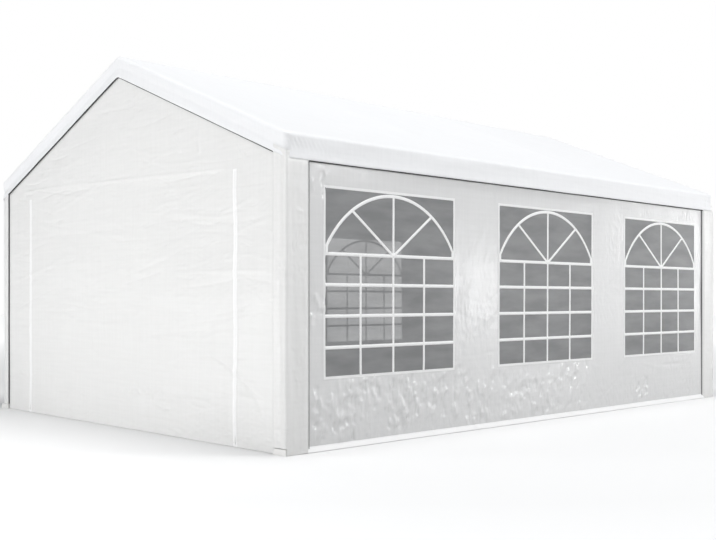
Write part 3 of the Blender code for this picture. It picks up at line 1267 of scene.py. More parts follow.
    def fold_rings(self, x: np.ndarray, y: np.ndarray, z: np.ndarray) -> tuple[np.ndarray, np.ndarray]:
        """Rings of points round the fold and down the valance.

        Args:
            x: Places across of the inner edge.
            y: Places along of the inner edge.
            z: Heights of the inner edge.

        Returns:
            The points of each ring, and how far each ring lies from the inner edge over the cloth.
        """
        away = self.outward(x, y)
        gable = away[:, 1] ** 2
        start = np.arctan(self.sizes.slope * np.abs(away[:, 0]))
        first = self.fold_radius * np.sin(start)
        rings, runs = [], []
        for step in range(self.fold_rows + 1):
            turn = start + (math.pi / 2 - start) * step / self.fold_rows
            reach = first + self.fold_radius * (np.sin(turn) - np.sin(start))
            drop = first * np.tan(start) + self.fold_radius * (np.cos(start) - np.cos(turn))
            rings.append(np.stack([x + away[:, 0] * reach, y + away[:, 1] * reach, z - drop], axis=-1))
            runs.append(np.full(len(x), self.fold_radius * (0.4 + step * 1.2 / self.fold_rows)))
        edge = rings[-1]
        hem_z = self.sizes.hem_height(np.sign(edge[:, 0]) * np.hypot(edge[:, 0], self.ridge_round))
        hem_z = hem_z + 0.0016 * Noise(91).at(edge[:, 0] / 0.5, edge[:, 1] / 0.5)
        count = round(float(np.max(edge[:, 2] - hem_z)) / self.fall_step)
        for step in range(1, count + 1):
            rings.append(self.fallen(edge, away, gable, hem_z, step / count, 0.0))
            runs.append(runs[self.fold_rows] + (edge[:, 2] - hem_z) * step / count)
        for rise in (0.0, self.turn_in / 2.0, self.turn_in):
            height = edge[:, 2] - hem_z
            rings.append(self.fallen(edge, away, gable, hem_z, 1.0 - rise / height, -2.0 * self.sizes.skin))
            runs.append(runs[-1] + self.turn_in / 3.0)
        return np.stack(rings), np.stack(runs)

    def fallen(
        self,
        edge: np.ndarray,
        away: np.ndarray,
        gable: np.ndarray,
        hem_z: np.ndarray,
        fall: float | np.ndarray,
        inward: float,
    ) -> np.ndarray:
        """One ring of the valance below the fold.

        Args:
            edge: Points of the fold's lower edge.
            away: Outward direction of each point.
            gable: Share by which each point faces a gable.
            hem_z: Height of the hem under each point.
            fall: Share of the way from the fold to the hem.
            inward: Extra lift, negative for cloth that is turned in.

        Returns:
            The points of the ring.
        """
        fall = np.broadcast_to(fall, hem_z.shape)
        lift = self.valance_lift(edge[:, 0], edge[:, 1], fall, gable) + inward
        level = edge[:, 2] + (hem_z - edge[:, 2]) * fall
        return np.stack([edge[:, 0] + away[:, 0] * lift, edge[:, 1] + away[:, 1] * lift, level], axis=-1)

    def build(self) -> None:
        """Builds the sheet and hides the solid that it stands in for."""
        x, y = self.plan()
        rows, columns = x.shape
        top = np.stack([x, y, self.top_height(x, y)], axis=-1)
        index = np.arange(rows * columns).reshape(rows, columns)
        loop = np.concatenate([index[0, :-1], index[:-1, -1], index[-1, :0:-1], index[:0:-1, 0]])
        inner = top.reshape(-1, 3)[loop]
        rings, runs = self.fold_rings(inner[:, 0], inner[:, 1], inner[:, 2])
        added = rows * columns + np.arange(len(rings) * len(loop)).reshape(-1, len(loop))
        numbers = np.vstack([loop, added])
        after = np.roll(numbers, -1, axis=1)
        sides = np.stack([numbers[:-1], numbers[1:], after[1:], after[:-1]], axis=-1).reshape(-1, 4)
        quads = np.vstack([grid_quads(rows, columns), sides])
        points = np.vstack([top.reshape(-1, 3), rings.reshape(-1, 3)])
        up_slope = math.hypot(1.0, self.sizes.slope)
        flat = np.stack([x * up_slope, y], axis=-1).reshape(-1, 2)
        around = flat[loop] + self.outward(inner[:, 0], inner[:, 1]) * runs[..., None]
        cloth = np.vstack([flat, around.reshape(-1, 2)])
        piece = self.place(mesh_of("roof_cloth", points, quads, cloth), self.finishes.roof, Slot.ROOF)
        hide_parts("roof_cover")


@dataclass
class CornerCloth(Assembly):
    """A strip that covers a corner leg, bent round it and hung from under the valance.

    The hollow is the upright valley on the gable, the bulge is how far the strip stands out over the leg,
    and the dip how far the edge on the gable lies back. The tucked part goes up behind the valance.
    """

    end: End = End.FRONT
    side: Side = Side.RIGHT
    bend: float = 0.017
    hollow: float = 0.0085
    bulge: float = 0.0070
    bulge_reach: float = 0.035
    tucked: float = 0.050
    tuck_depth: float = 0.0055
    step: float = 0.0070
    rise_step: float = 0.012
    turn_in: float = 0.014
    dip: float = 0.0125

    def outline(self) -> tuple[np.ndarray, np.ndarray, np.ndarray]:
        """The bent line of the strip from above, for the back right corner.

        Returns:
            Run along the strip, points of the line and outward directions.
        """
        sizes = self.sizes
        tip = np.array([sizes.half_span, sizes.half_length]) - sizes.skin
        core = tip - self.bend
        gable_run = core[0] - (sizes.half_span - sizes.on_gable)
        side_run = core[1] - (sizes.half_length - sizes.on_side)
        arc = self.bend * math.pi / 2
        total = gable_run + arc + side_run
        run = spaced(0.0, self.step, gable_run, self.step / 1.5, gable_run + arc, self.step, total)
        turn = np.clip((run - gable_run) / arc, 0.0, 1.0) * math.pi / 2
        away = np.stack([np.sin(turn), np.cos(turn)], axis=-1)
        line = core + away * self.bend
        line[:, 0] -= np.maximum(gable_run - run, 0.0)
        line[:, 1] -= np.maximum(run - gable_run - arc, 0.0)
        return run, line, away

    def folds(self, run: np.ndarray, z: np.ndarray, total: float) -> np.ndarray:
        """Long upright folds, and a hem along each edge.

        Args:
            run: Places along the strip.
            z: Heights.
            total: Width of the strip.

        Returns:
            The lift at each place.
        """
        seed = 100 + 10 * self.end.value + 3 * self.side.value
        waves = (Billow(0.0030, 0.070, 0.60), Billow(0.0014, 0.030, 0.22), Crumple(0.0050, 0.050, 0.6, 0.3))
        lean = 0.05 * (z - 1.0)
        lift = Relief(seed, waves).at(run + lean, z)
        lift = limited(lift * smooth(0.0, 0.035, np.minimum(run, total - run)), -0.0035, 0.006)
        lift = lift - self.hollow * smooth(0.0, 0.055, run) * smooth(0.118, 0.060, run)
        held = smooth(0.05, 0.40, z) * smooth(1.95, 1.70, z)
        lift = lift + self.bulge * held * np.exp(-(((run - self.sizes.on_gable) / self.bulge_reach) ** 2))
        return lift - self.dip * smooth(0.022, 0.002, total - run)

    def build(self) -> None:
        """Builds the strip and hides the solid that it stands in for."""
        sizes = self.sizes
        run, line, away = self.outline()
        total = float(run[-1])
        first, last = run[0], run[-1]
        run = np.concatenate([[first + self.turn_in, first], run, [last, last - self.turn_in]])
        inward = np.zeros(len(run))
        inward[:2] = -self.dip
        inward[-2:] = -2.0 * sizes.skin
        pick = np.concatenate([[0, 0], np.arange(len(line)), [len(line) - 1] * 2])
        line, away = line[pick].copy(), away[pick]
        line[0, 0] += self.turn_in
        line[-1, 1] += self.turn_in
        hem_z = sizes.hem_height(line[:, 0])
        low = sizes.clearance + 0.001
        rows = spaced(low, self.rise_step, sizes.step_z, self.rise_step, sizes.valance_low)
        hanging = np.broadcast_to(rows[:-1, None], (len(rows) - 1, len(run)))
        behind = spaced(0.0, 0.25, 1.0)[:, None] * (hem_z + self.tucked - sizes.valance_low)[None]
        z = np.vstack([hanging, sizes.valance_low + behind])
        tuck = smooth(-0.012, 0.012, z - hem_z[None])
        lift = self.folds(np.broadcast_to(run, z.shape), z, total) * (1.0 - tuck)
        lift = lift + inward - self.tuck_depth * tuck
        level = line[None] + away[None] * lift[..., None]
        signs = np.array([self.side.value, self.end.value])
        points = np.concatenate([level * signs, z[..., None]], axis=-1)
        foot_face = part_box(label("leg", self.end, Side.RIGHT))[1].x
        centre_x = (line[:-1, 0] + line[1:, 0]) / 2.0
        keep = (middles(z) > sizes.step_z) | (centre_x[None] > foot_face)
        quads = grid_quads(*z.shape, keep)
        if self.side.value * self.end.value > 0:
            quads = quads[:, ::-1]
        cloth = np.stack([np.broadcast_to(run, z.shape), z], axis=-1).reshape(-1, 2)
        name = label("corner_cloth", self.end, self.side)
        mesh = mesh_of(name, points.reshape(-1, 3), quads, cloth)
        piece = self.place(mesh, self.finishes.gable, Slot.WALL)
        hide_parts(label("corner_cover", self.end, self.side))


@dataclass
class WallCloth(Assembly):
    """What gables and long walls share: upright cloth that its relief lifts out of a plane.

    Attributes:
        relief: Creases and waves of the whole wall.
    """

    relief: Relief = field(default_factory=lambda: Relief(0))

    @property
    @abstractmethod
    def plane(self) -> float:
        """Distance of the flat cloth from the middle of the building."""

    @property
    @abstractmethod
    def sense(self) -> int:
        """1 where the axis along the wall runs to the right seen from outside, and -1 elsewhere."""

    @property
    def bottom(self) -> float:
        """Height of the cloth's lower edge, just over the solid's."""
        return self.sizes.clearance + 0.001

    def along(self, run: np.ndarray) -> np.ndarray:
        """Cloth coordinate, which runs to the right seen from outside."""
        return self.sense * run

    @abstractmethod
    def turned(self, run: np.ndarray, out: np.ndarray, z: np.ndarray) -> np.ndarray:
        """Points at a place along the wall, a distance out and a height."""

    @abstractmethod
    def lift(self, run: np.ndarray, z: np.ndarray) -> np.ndarray:
        """How far the cloth stands out of the wall's plane."""

    def placed(self, run: np.ndarray, z: np.ndarray, extra: float | np.ndarray = 0.0) -> np.ndarray:
        """Points of the cloth, raised by extra."""
        return self.turned(run, self.plane + self.lift(run, z) + extra, z)

    def sheet(
        self,
        name: str,
        run: np.ndarray,
        z: np.ndarray,
        keep: np.ndarray | None = None,
        extra: float | np.ndarray = 0.0,
    ) -> bpy.types.Mesh:
        """A grid of cloth in the wall's plane.

        Args:
            name: The mesh's name.
            run: Places along the wall, as a grid.
            z: Heights, as a grid.
            keep: For each face, whether it is kept.
            extra: How far the sheet is raised.

        Returns:
            The mesh.
        """
        quads = grid_quads(*run.shape, keep)
        if self.sense < 0:
            quads = quads[:, ::-1]
        cloth = np.stack([self.along(run), z], axis=-1).reshape(-1, 2)
        return mesh_of(name, self.placed(run, z, extra).reshape(-1, 3), quads, cloth)

    def stand_in(self, mesh: bpy.types.Mesh, material: bpy.types.Material, node: str) -> bpy.types.Object:
        """Places a sheet that takes the place of a solid.

        Args:
            mesh: The sheet's mesh.
            material: Its material.
            node: The solid's name.

        Returns:
            The piece.
        """
        slot = Slot.FILM if material is self.finishes.film else Slot.WALL
        piece = self.place(mesh, material, slot)
        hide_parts(node)
        return piece


@dataclass
class GableCloth(WallCloth):
    """A gable wall with its door, the two zips between them and the hem."""

    end: End = End.FRONT
    step: float = 0.0150
    rise: float = 0.0089
    tape_width: float = 0.042
    tape_lift: float = 0.0012
    tape_over: float = 0.012
    tape_step: float = 0.010
    hem: float = 0.036
    hem_inset: float = 0.140
    tooth: Pair = (0.0036, 0.0014)
    tooth_pitch: float = 0.0048
    pull: Triple = (0.008, 0.0022, 0.040)
    slider: Triple = (0.012, 0.006, 0.015)

    @property
    def plane(self) -> float:
        """Distance of the flat cloth from the middle of the building."""
        return self.sizes.wall_y - self.sizes.skin

    @property
    def sense(self) -> int:
        """1 where the axis along the wall runs to the right seen from outside, and -1 elsewhere."""
        return -self.end.value

    def turned(self, run: np.ndarray, out: np.ndarray, z: np.ndarray) -> np.ndarray:
        """Points at a place across, a distance out and a height."""
        return np.stack([run, self.end.value * out, z], axis=-1)

    def lift(self, run: np.ndarray, z: np.ndarray) -> np.ndarray:
        """How far the cloth stands out, least at the rafters and corner legs.

        Args:
            run: Places across.
            z: Heights.

        Returns:
            The lift at each place.
        """
        sizes = self.sizes
        free = smooth(0.0, 0.30, sizes.leg_x - np.abs(run)) * smooth(0.0, 0.16, sizes.hem_height(run) - z)
        relief = self.relief.at(self.along(run), z) * (0.12 + 0.88 * free)
        return limited(relief, -0.0022 - 0.016 * free, 0.0012 + 0.011 * free)

    def build_wall(self) -> bpy.types.Object:
        """Builds the cloth round the doorway.

        Returns:
            The piece.
        """
        sizes, step, rise = self.sizes, self.step, self.rise
        half, top = sizes.door_half, sizes.gable_top
        across = spaced(-sizes.gable_end, step, -half, step, half, step, sizes.gable_end)
        rows = spaced(self.bottom, rise, sizes.step_z, rise, sizes.door_top, rise, top)
        x, level = np.meshgrid(across, rows)
        over_door = level - sizes.door_top
        under_roof = top - sizes.slope * np.hypot(x, 0.004) - sizes.door_top
        fitted = sizes.door_top + over_door * under_roof / (top - sizes.door_top)
        z = np.where(over_door <= 0.0, level, fitted)
        mid_x, mid_z = middles(np.abs(x)), middles(z)
        doorway = (mid_x < half) & (mid_z < sizes.door_top)
        over_foot = (mid_x > sizes.half_span - sizes.notch) & (mid_z < sizes.step_z)
        mesh = self.sheet(label("gable_cloth", self.end), x, z, ~doorway & ~over_foot)
        return self.stand_in(mesh, self.finishes.gable, label(self.end, "wall"))

    def build_door(self) -> bpy.types.Object:
        """Builds the sheet that rolls up between the zips.

        Returns:
            The piece.
        """
        sizes = self.sizes
        across = spaced(-sizes.door_half, self.step, sizes.door_half)
        x, z = np.meshgrid(across, spaced(self.bottom, self.rise, sizes.door_top))
        mesh = self.sheet(label("door_cloth", self.end), x, z)
        return self.stand_in(mesh, self.finishes.gable, label(self.end, "door"))

    def build_tape(self, side: Side) -> bpy.types.Object:
        """Builds the flat tape of one zip.

        Args:
            side: Which of the two zips.

        Returns:
            The piece.
        """
        sizes, half = self.sizes, self.tape_width / 2.0
        across = side.value * sizes.door_half + spaced(-half, half / 3.0, half)
        rows = spaced(sizes.clearance + 0.002, self.tape_step, sizes.door_top + self.tape_over)
        x, z = np.meshgrid(across, rows)
        mesh = self.sheet(label("zip_tape", self.end, side), x, z, extra=self.tape_lift)
        return self.place(mesh, self.finishes.tape, Slot.WALL)

    def build_teeth(self, side: Side) -> bpy.types.Object:
        """Builds two rows of teeth that mesh along the middle of the tape.

        Args:
            side: Which of the two zips.

        Returns:
            The piece.
        """
        sizes = self.sizes
        seam = side.value * sizes.door_half
        z = np.arange(sizes.clearance + 0.030, sizes.door_top, self.tooth_pitch / 2.0)
        x = seam + np.where(np.arange(len(z)) % 2 == 0, -0.4, 0.4) * self.tooth[0]
        centres = self.placed(x, z, self.tape_lift + self.tooth[1] / 2.0)
        corner = np.array([(i, j, k) for k in (-1, 1) for j in (-1, 1) for i in (-1, 1)])
        size = np.array([*self.tooth, self.tooth_pitch / 2.4])
        points = centres[:, None] + corner[None] * size / 2.0
        ends, fronts = [(0, 2, 3, 1), (4, 5, 7, 6)], [(0, 1, 5, 4), (2, 6, 7, 3)]
        faces = np.array([*ends, *fronts, (0, 4, 6, 2), (1, 3, 7, 5)])
        quads = (faces[None] + len(corner) * np.arange(len(z))[:, None, None]).reshape(-1, 4)
        mesh = mesh_of(label("zip_teeth", self.end, side), points.reshape(-1, 3), quads)
        mesh.shade_flat()
        return self.place(mesh, self.finishes.teeth, Slot.WALL)

    def build_slider(self, side: Side) -> bpy.types.Object:
        """Builds the slider of one zip, closed down, with its pull.

        Args:
            side: Which of the two zips.

        Returns:
            The piece.
        """
        seam, height = side.value * self.sizes.door_half, self.sizes.clearance + 0.026
        seat = Vector(self.placed(np.array([seam]), np.array([height]), 0.004)[0])
        shape = bmesh.new()
        for size, out, up in ((self.slider, 0.0, 0.0), (self.pull, 0.004, 0.024)):
            place = Matrix.Translation(seat + Vector((0.0, self.end.value * out, up)))
            bmesh.ops.create_cube(shape, size=1.0, matrix=place @ Matrix.Diagonal((*size, 1.0)))
        bmesh.ops.bevel(shape, geom=shape.edges[:], offset=0.0009, segments=2, affect="EDGES")
        mesh = mesh_from(label("zip_slider", self.end, side), shape)
        return self.place(mesh, self.finishes.teeth, Slot.WALL)

    def build_hem(self) -> bpy.types.Object:
        """Builds the doubled band along the ground.

        Returns:
            The piece.
        """
        sizes = self.sizes
        reach = sizes.half_span - self.hem_inset
        rows = sizes.clearance + np.array([0.0, 0.004, 0.02, self.hem - 0.002, self.hem])
        x, z = np.meshgrid(spaced(-reach, 0.016, reach), rows)
        mesh = self.sheet(label("gable_hem", self.end), x, z, extra=0.0010)
        return self.place(mesh, self.finishes.gable, Slot.WALL)

    def build(self) -> None:
        """Builds the gable with its door, hem and zips."""
        wall, door, hem = self.build_wall(), self.build_door(), self.build_hem()
        zips = []
        for side in Side:
            zips += [self.build_tape(side), self.build_teeth(side), self.build_slider(side)]


@dataclass
class SideCloth(WallCloth):
    """A long wall with three windows, their welded borders, panes and bars, and the hem."""

    side: Side = Side.RIGHT
    step: float = 0.0128
    fine_step: float = 0.0089
    pane_step: float = 0.0235
    border: float = 0.016
    lap: float = 0.003
    border_lift: float = 0.0010
    bar_lift: float = 0.0012
    bar_edge: float = 0.0012
    hem: float = 0.038
    hem_inset: float = 0.150
    hem_flare: float = 0.020
    bar_width: float = 0.024
    post_width: float = 0.021
    bar_heights: tuple[float, ...] = (1.325, 1.115, 0.902, 0.689)
    post_offset: float = 0.338
    arch_centre: float = 0.968
    arch_radius: float = 0.784
    ray_end: Pair = (0.418, 1.625)

    @property
    def plane(self) -> float:
        """Distance of the flat cloth from the middle of the building."""
        return self.sizes.wall_x - self.sizes.skin

    @property
    def sense(self) -> int:
        """1 where the axis along the wall runs to the right seen from outside, and -1 elsewhere."""
        return self.side.value

    def turned(self, run: np.ndarray, out: np.ndarray, z: np.ndarray) -> np.ndarray:
        """Points at a place along, a distance out and a height."""
        return np.stack([self.side.value * out, run, z], axis=-1)

    def lift(self, run: np.ndarray, z: np.ndarray) -> np.ndarray:
        """How far the cloth stands out, least at the frame, the valance and the corner covers.

        Args:
            run: Places along.
            z: Heights.

        Returns:
            The lift at each place.
        """
        sizes = self.sizes
        from_arch = np.min(np.abs(run[..., None] - np.array(sizes.arches)), axis=-1)
        under_valance = smooth(0.0, 0.14, sizes.valance_low - 0.010 - z)
        from_corner = smooth(0.0, 0.09, sizes.half_length - sizes.on_side - np.abs(run))
        lowest = -0.0018 - 0.013 * smooth(0.03, 0.22, from_arch) * smooth(0.0, 0.12, sizes.wall_top - z)
        highest = 0.0012 + 0.014 * under_valance * from_corner
        relief = self.relief.at(self.along(run), z)
        return limited(relief, lowest, highest) * (1.0 - 0.55 * self.in_window(run, z))

    def from_window(self, run: np.ndarray) -> np.ndarray:
        """Distance of each place along the wall from the middle of the nearest window."""
        centres = self.sizes.window_pitch * np.array([bay.value for bay in Bay])
        return np.min(np.abs(run[..., None] - centres), axis=-1)

    def in_window(self, run: np.ndarray, z: np.ndarray) -> np.ndarray:
        """How far inside a window each place is.

        Args:
            run: Places along.
            z: Heights.

        Returns:
            A number from 0 outside to 1 inside for each place.
        """
        sizes = self.sizes
        within = smooth(-0.05, 0.08, sizes.window_half - self.from_window(run))
        return within * smooth(-0.05, 0.08, z - sizes.window_low) * smooth(-0.05, 0.08, sizes.window_high - z)

    def build_wall(self) -> bpy.types.Object:
        """Builds the cloth round the three windows.

        Returns:
            The piece.
        """
        sizes, step, fine = self.sizes, self.step, self.fine_step
        low, high = sizes.window_low, sizes.window_high
        stops = [-sizes.wall_end]
        for bay in Bay:
            centre = bay.value * sizes.window_pitch
            stops += [fine, centre - sizes.window_half, fine, centre + sizes.window_half]
        rows = spaced(self.bottom, step, sizes.step_z, step, low, step, high, step, sizes.wall_top)
        y, z = np.meshgrid(spaced(*stops, fine, sizes.wall_end), rows)
        mid_y, mid_z = middles(y), middles(z)
        window = (self.from_window(mid_y) < sizes.window_half) & (mid_z > low) & (mid_z < high)
        foot = (np.abs(mid_y) > sizes.half_length - sizes.notch) & (mid_z < sizes.step_z)
        mesh = self.sheet(label("side_cloth", self.side), y, z, ~window & ~foot)
        return self.stand_in(mesh, self.finishes.wall, label(self.side, "wall"))

    def build_border(self, bay: Bay) -> bpy.types.Object:
        """Builds the band of doubled cloth welded round one window.

        Args:
            bay: The window's bay.

        Returns:
            The piece.
        """
        sizes, step, band = self.sizes, self.pane_step, self.border
        centre, half = bay.value * sizes.window_pitch, sizes.window_half
        fine, inner = band / 3, half - self.lap
        low, high = sizes.window_low + self.lap, sizes.window_high - self.lap
        left, right = centre - half - band, centre + half + band
        along = spaced(left, fine, centre - inner, step, centre + inner, fine, right)
        rows = spaced(sizes.window_low - band, fine, low, step, high, fine, sizes.window_high + band)
        y, z = np.meshgrid(along, rows)
        mid_z = middles(z)
        hole = (np.abs(middles(y) - centre) < inner) & (mid_z > low) & (mid_z < high)
        mesh = self.sheet(label("window_border", bay, self.side), y, z, ~hole, self.border_lift)
        return self.place(mesh, self.finishes.edging, Slot.WALL)

    def build_pane(self, bay: Bay) -> bpy.types.Object:
        """Builds the film of one window.

        Args:
            bay: The window's bay.

        Returns:
            The piece.
        """
        sizes, step = self.sizes, self.pane_step
        centre, half = bay.value * sizes.window_pitch, sizes.window_half
        along = spaced(centre - half, step, centre + half)
        y, z = np.meshgrid(along, spaced(sizes.window_low, step, sizes.window_high))
        mesh = self.sheet(label("window_pane", bay, self.side), y, z)
        return self.stand_in(mesh, self.finishes.film, label("window", bay, self.side))

    def bar_lines(self, bay: Bay) -> list[tuple[np.ndarray, float]]:
        """The middle line and the width of each bar of one window.

        Args:
            bay: The window's bay.

        Returns:
            Points (y, z) and a width for each bar.
        """
        sizes = self.sizes
        half, top_bar, radius = sizes.window_half, self.bar_heights[0], self.arch_radius
        centre = bay.value * sizes.window_pitch
        lines = [([(-half, height), (half, height)], self.bar_width) for height in self.bar_heights]
        for offset in (-self.post_offset, 0.0, self.post_offset):
            lines.append(([(offset, sizes.window_low), (offset, top_bar)], self.post_width))
        ray_x, ray_z = self.ray_end
        for end in ((0.0, self.arch_centre + radius), (-ray_x, ray_z), (ray_x, ray_z)):
            lines.append(([(0.0, top_bar), end], self.post_width))
        inset = half - self.bar_width / 2.0
        spread = math.asin(inset / radius)
        turns = np.linspace(-spread, spread, 49)
        arch = [(radius * math.sin(turn), self.arch_centre + radius * math.cos(turn)) for turn in turns]
        lines.append(([(-inset, top_bar), *arch, (inset, top_bar)], self.bar_width))
        return [(np.array(points) + (centre, 0.0), width) for points, width in lines]

    def build_bars(self, bay: Bay) -> bpy.types.Object:
        """Builds the white bars on one window, as one mesh of thin ribbons.

        Args:
            bay: The window's bay.

        Returns:
            The piece.
        """
        name = label("window_bars", bay, self.side)
        shape = bmesh.new()
        for index, (line, width) in enumerate(self.bar_lines(bay)):
            run = runs_along(line)
            spots = np.union1d(run, spaced(0.0, self.pane_step, run[-1]))
            y, z = np.interp(spots, run, line[:, 0]), np.interp(spots, run, line[:, 1])
            ahead = np.stack([np.gradient(y, spots), np.gradient(z, spots)], axis=-1)
            ahead /= np.linalg.norm(ahead, axis=1, keepdims=True)
            aside = np.stack([np.zeros(len(y)), -ahead[:, 1], ahead[:, 0]], axis=-1) * self.side.value
            out = np.tile((float(self.side.value), 0.0, 0.0), (len(y), 1))
            depth = self.bar_lift + 0.0001 * index
            half, edge = width / 2.0, width / 2.0 - self.bar_edge
            rim = [(-half, -0.0004), (-edge, depth)]
            profile = np.array([*rim, (0.0, depth + 0.0003), (edge, depth), (half, -0.0004)])
            part = swept(name, self.placed(y, z), aside, out, profile, closed=False)
            shape.from_mesh(part)
            bpy.data.meshes.remove(part)
        return self.place(mesh_from(name, shape), self.finishes.bars, Slot.FILM)

    def build_hem(self) -> bpy.types.Object:
        """Builds the doubled band along the ground.

        Returns:
            The piece.
        """
        sizes = self.sizes
        reach = sizes.half_length - self.hem_inset
        low = sizes.clearance + 0.0005
        y, z = np.meshgrid(spaced(-reach, 0.016, reach), low + np.linspace(0.0, self.hem, 8))
        flare = self.hem_flare * smooth(self.hem, 0.0, z - low) * smooth(0.0, 0.05, reach - np.abs(y))
        # The hem takes the whiter tape colour, which is partly a painted highlight for the light that the
        # flared hem catches.
        mesh = self.sheet(label("side_hem", self.side), y, z, extra=0.0012 + flare)
        return self.place(mesh, self.finishes.tape, Slot.WALL)

    def build(self) -> None:
        """Builds the side with its hem, window borders, panes and bars."""
        wall, hem = self.build_wall(), self.build_hem()
        borders = [self.build_border(bay) for bay in Bay]
        for bay in Bay:
            pane, bars = self.build_pane(bay), self.build_bars(bay)


@dataclass
class ShadowLineBead(Assembly):
    """Round beads where the walls go up under the valance and the corner covers. They are partly real piping
    and partly painted shade: dark ones for the shadow gaps, grey ones for the soft contact shadows by the
    long walls' corner covers.

    The peek is how far a bead shows under the valance, and dropped how much lower it lies on one half of a
    gable. The seat is how far an upright bead stands out of the wall.
    """

    radius: float = 0.0058
    upright_radius: float = 0.0034
    peek: float = 0.0060
    dropped: float = 0.0020
    drop_reach: float = 0.05
    seat: float = 0.0035
    gap: float = 0.0003
    step: float = 0.02
    rise_step: float = 0.05
    sides: int = 10

    def tube(self, name: str, path: np.ndarray, radius: float, finish: bpy.types.Material) -> None:
        """Places one bead along a path that has no sharp turn back.

        Args:
            name: The piece's name.
            path: Points of its middle line.
            radius: The bead's radius.
            finish: Its material.
        """
        ahead = np.gradient(path, axis=0)
        ahead /= np.linalg.norm(ahead, axis=1, keepdims=True)
        level = np.abs(ahead[:, 2:]) < 0.9
        helper = np.where(level, (0.0, 0.0, 1.0), (0.0, 1.0, 0.0))
        aside = np.cross(ahead, helper)
        aside /= np.linalg.norm(aside, axis=1, keepdims=True)
        turn = np.arange(self.sides) * 2.0 * math.pi / self.sides
        ring = radius * np.stack([np.cos(turn), np.sin(turn)], axis=-1)
        mesh = swept(name, path, aside, np.cross(aside, ahead), ring, closed=True)
        self.place(mesh, finish, Slot.WALL)

    def upright(self, name: str, spot: Pair, span: Pair, finish: bpy.types.Material) -> None:
        """Places an upright bead.

        Args:
            name: The piece's name.
            spot: Its place, from above.
            span: Heights of its ends.
            finish: Its material.
        """
        rows = spaced(span[0], self.rise_step, span[1])
        path = np.column_stack([np.tile(spot, (len(rows), 1)), rows])
        self.tube(name, path, self.upright_radius, finish)

    def build(self) -> None:
        """Builds the beads of both gables and both sides."""
        sizes, back = self.sizes, self.radius - self.peek
        # The dark beads partly paint the shadow gaps under the valance and beside the gables' corner covers.
        dark, grey = self.finishes.bead, self.finishes.seam
        out_x = (sizes.wall_x + sizes.half_span) / 2.0 - sizes.skin - self.gap
        out_y = (sizes.wall_y + sizes.half_length) / 2.0 - sizes.skin - self.gap
        corner_x = sizes.half_span - sizes.on_gable - self.upright_radius
        corner_y = sizes.half_length - sizes.on_side - self.upright_radius
        shoulder = float(sizes.hem_height(np.array(corner_x)))
        for end in End:
            x = spaced(-corner_x, self.step, corner_x)
            drop = self.dropped * end.value * np.tanh(x / self.drop_reach)
            hem = sizes.hem_height(np.sign(x) * np.hypot(x, 0.012))
            z = hem + (back + drop) * math.hypot(1.0, sizes.slope)
            path = np.stack([x, np.full(len(x), end.value * out_y), z], axis=-1)
            self.tube(label("gable_bead", end), path, self.radius, dark)
            for side in Side:
                if side.value * end.value > 0:
                    spot = (side.value * corner_x, end.value * (sizes.wall_y + self.seat))
                    self.upright(label("gable_edge_bead", end), spot, (sizes.step_z, shoulder), dark)
                # A grey upright bead beside a long wall's corner cover, partly a painted contact shadow.
                spot = (side.value * (sizes.wall_x + self.seat), end.value * corner_y)
                span = (sizes.clearance + 0.002, sizes.valance_low)
                self.upright(label("side_edge_bead", end, side), spot, span, grey)
        for side in Side:
            y = spaced(-corner_y, self.step, corner_y)
            x, z = np.full(len(y), side.value * out_x), np.full(len(y), sizes.valance_low + back)
            self.tube(label("eave_bead", side), np.stack([x, y, z], axis=-1), self.radius, dark)


@dataclass
class FrameSteel(Assembly):
    """The tubes, connectors and feet, which keep their solids and get their finish."""

    smooth_below: float = math.radians(40.0)

    def build(self) -> None:
        """Dresses every solid of the frame that stays in view."""
        for name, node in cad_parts.items():
            if node.hide_render:
                continue
            joint = "connector" in name
            node.data.materials.clear()
            node.data.materials.append(self.finishes.socket if joint else self.finishes.tube)
            node.data.shade_smooth()
            node.data.set_sharp_from_angle(angle=self.smooth_below)
            if name.startswith("leg_"):
                self.dress_foot(node)
            self.pieces.append(node)
        LOG.info("frame: %d solids dressed", len(self.pieces))

    def dress_foot(self, leg: bpy.types.Object) -> None:
        """Gives the moulded foot of a leg its own finish.

        Args:
            leg: The leg's solid.
        """
        leg.data.materials.append(self.finishes.foot)
        for face in leg.data.polygons:
            if face.center.z < self.sizes.foot_height + 0.001:
                face.material_index = 1


@dataclass(frozen=True)
class Softbox:
    """One soft light: where it stands and points, its width and height, and its power in watts."""

    name: str
    place: Triple
    aim: Triple
    size: Pair
    power: float


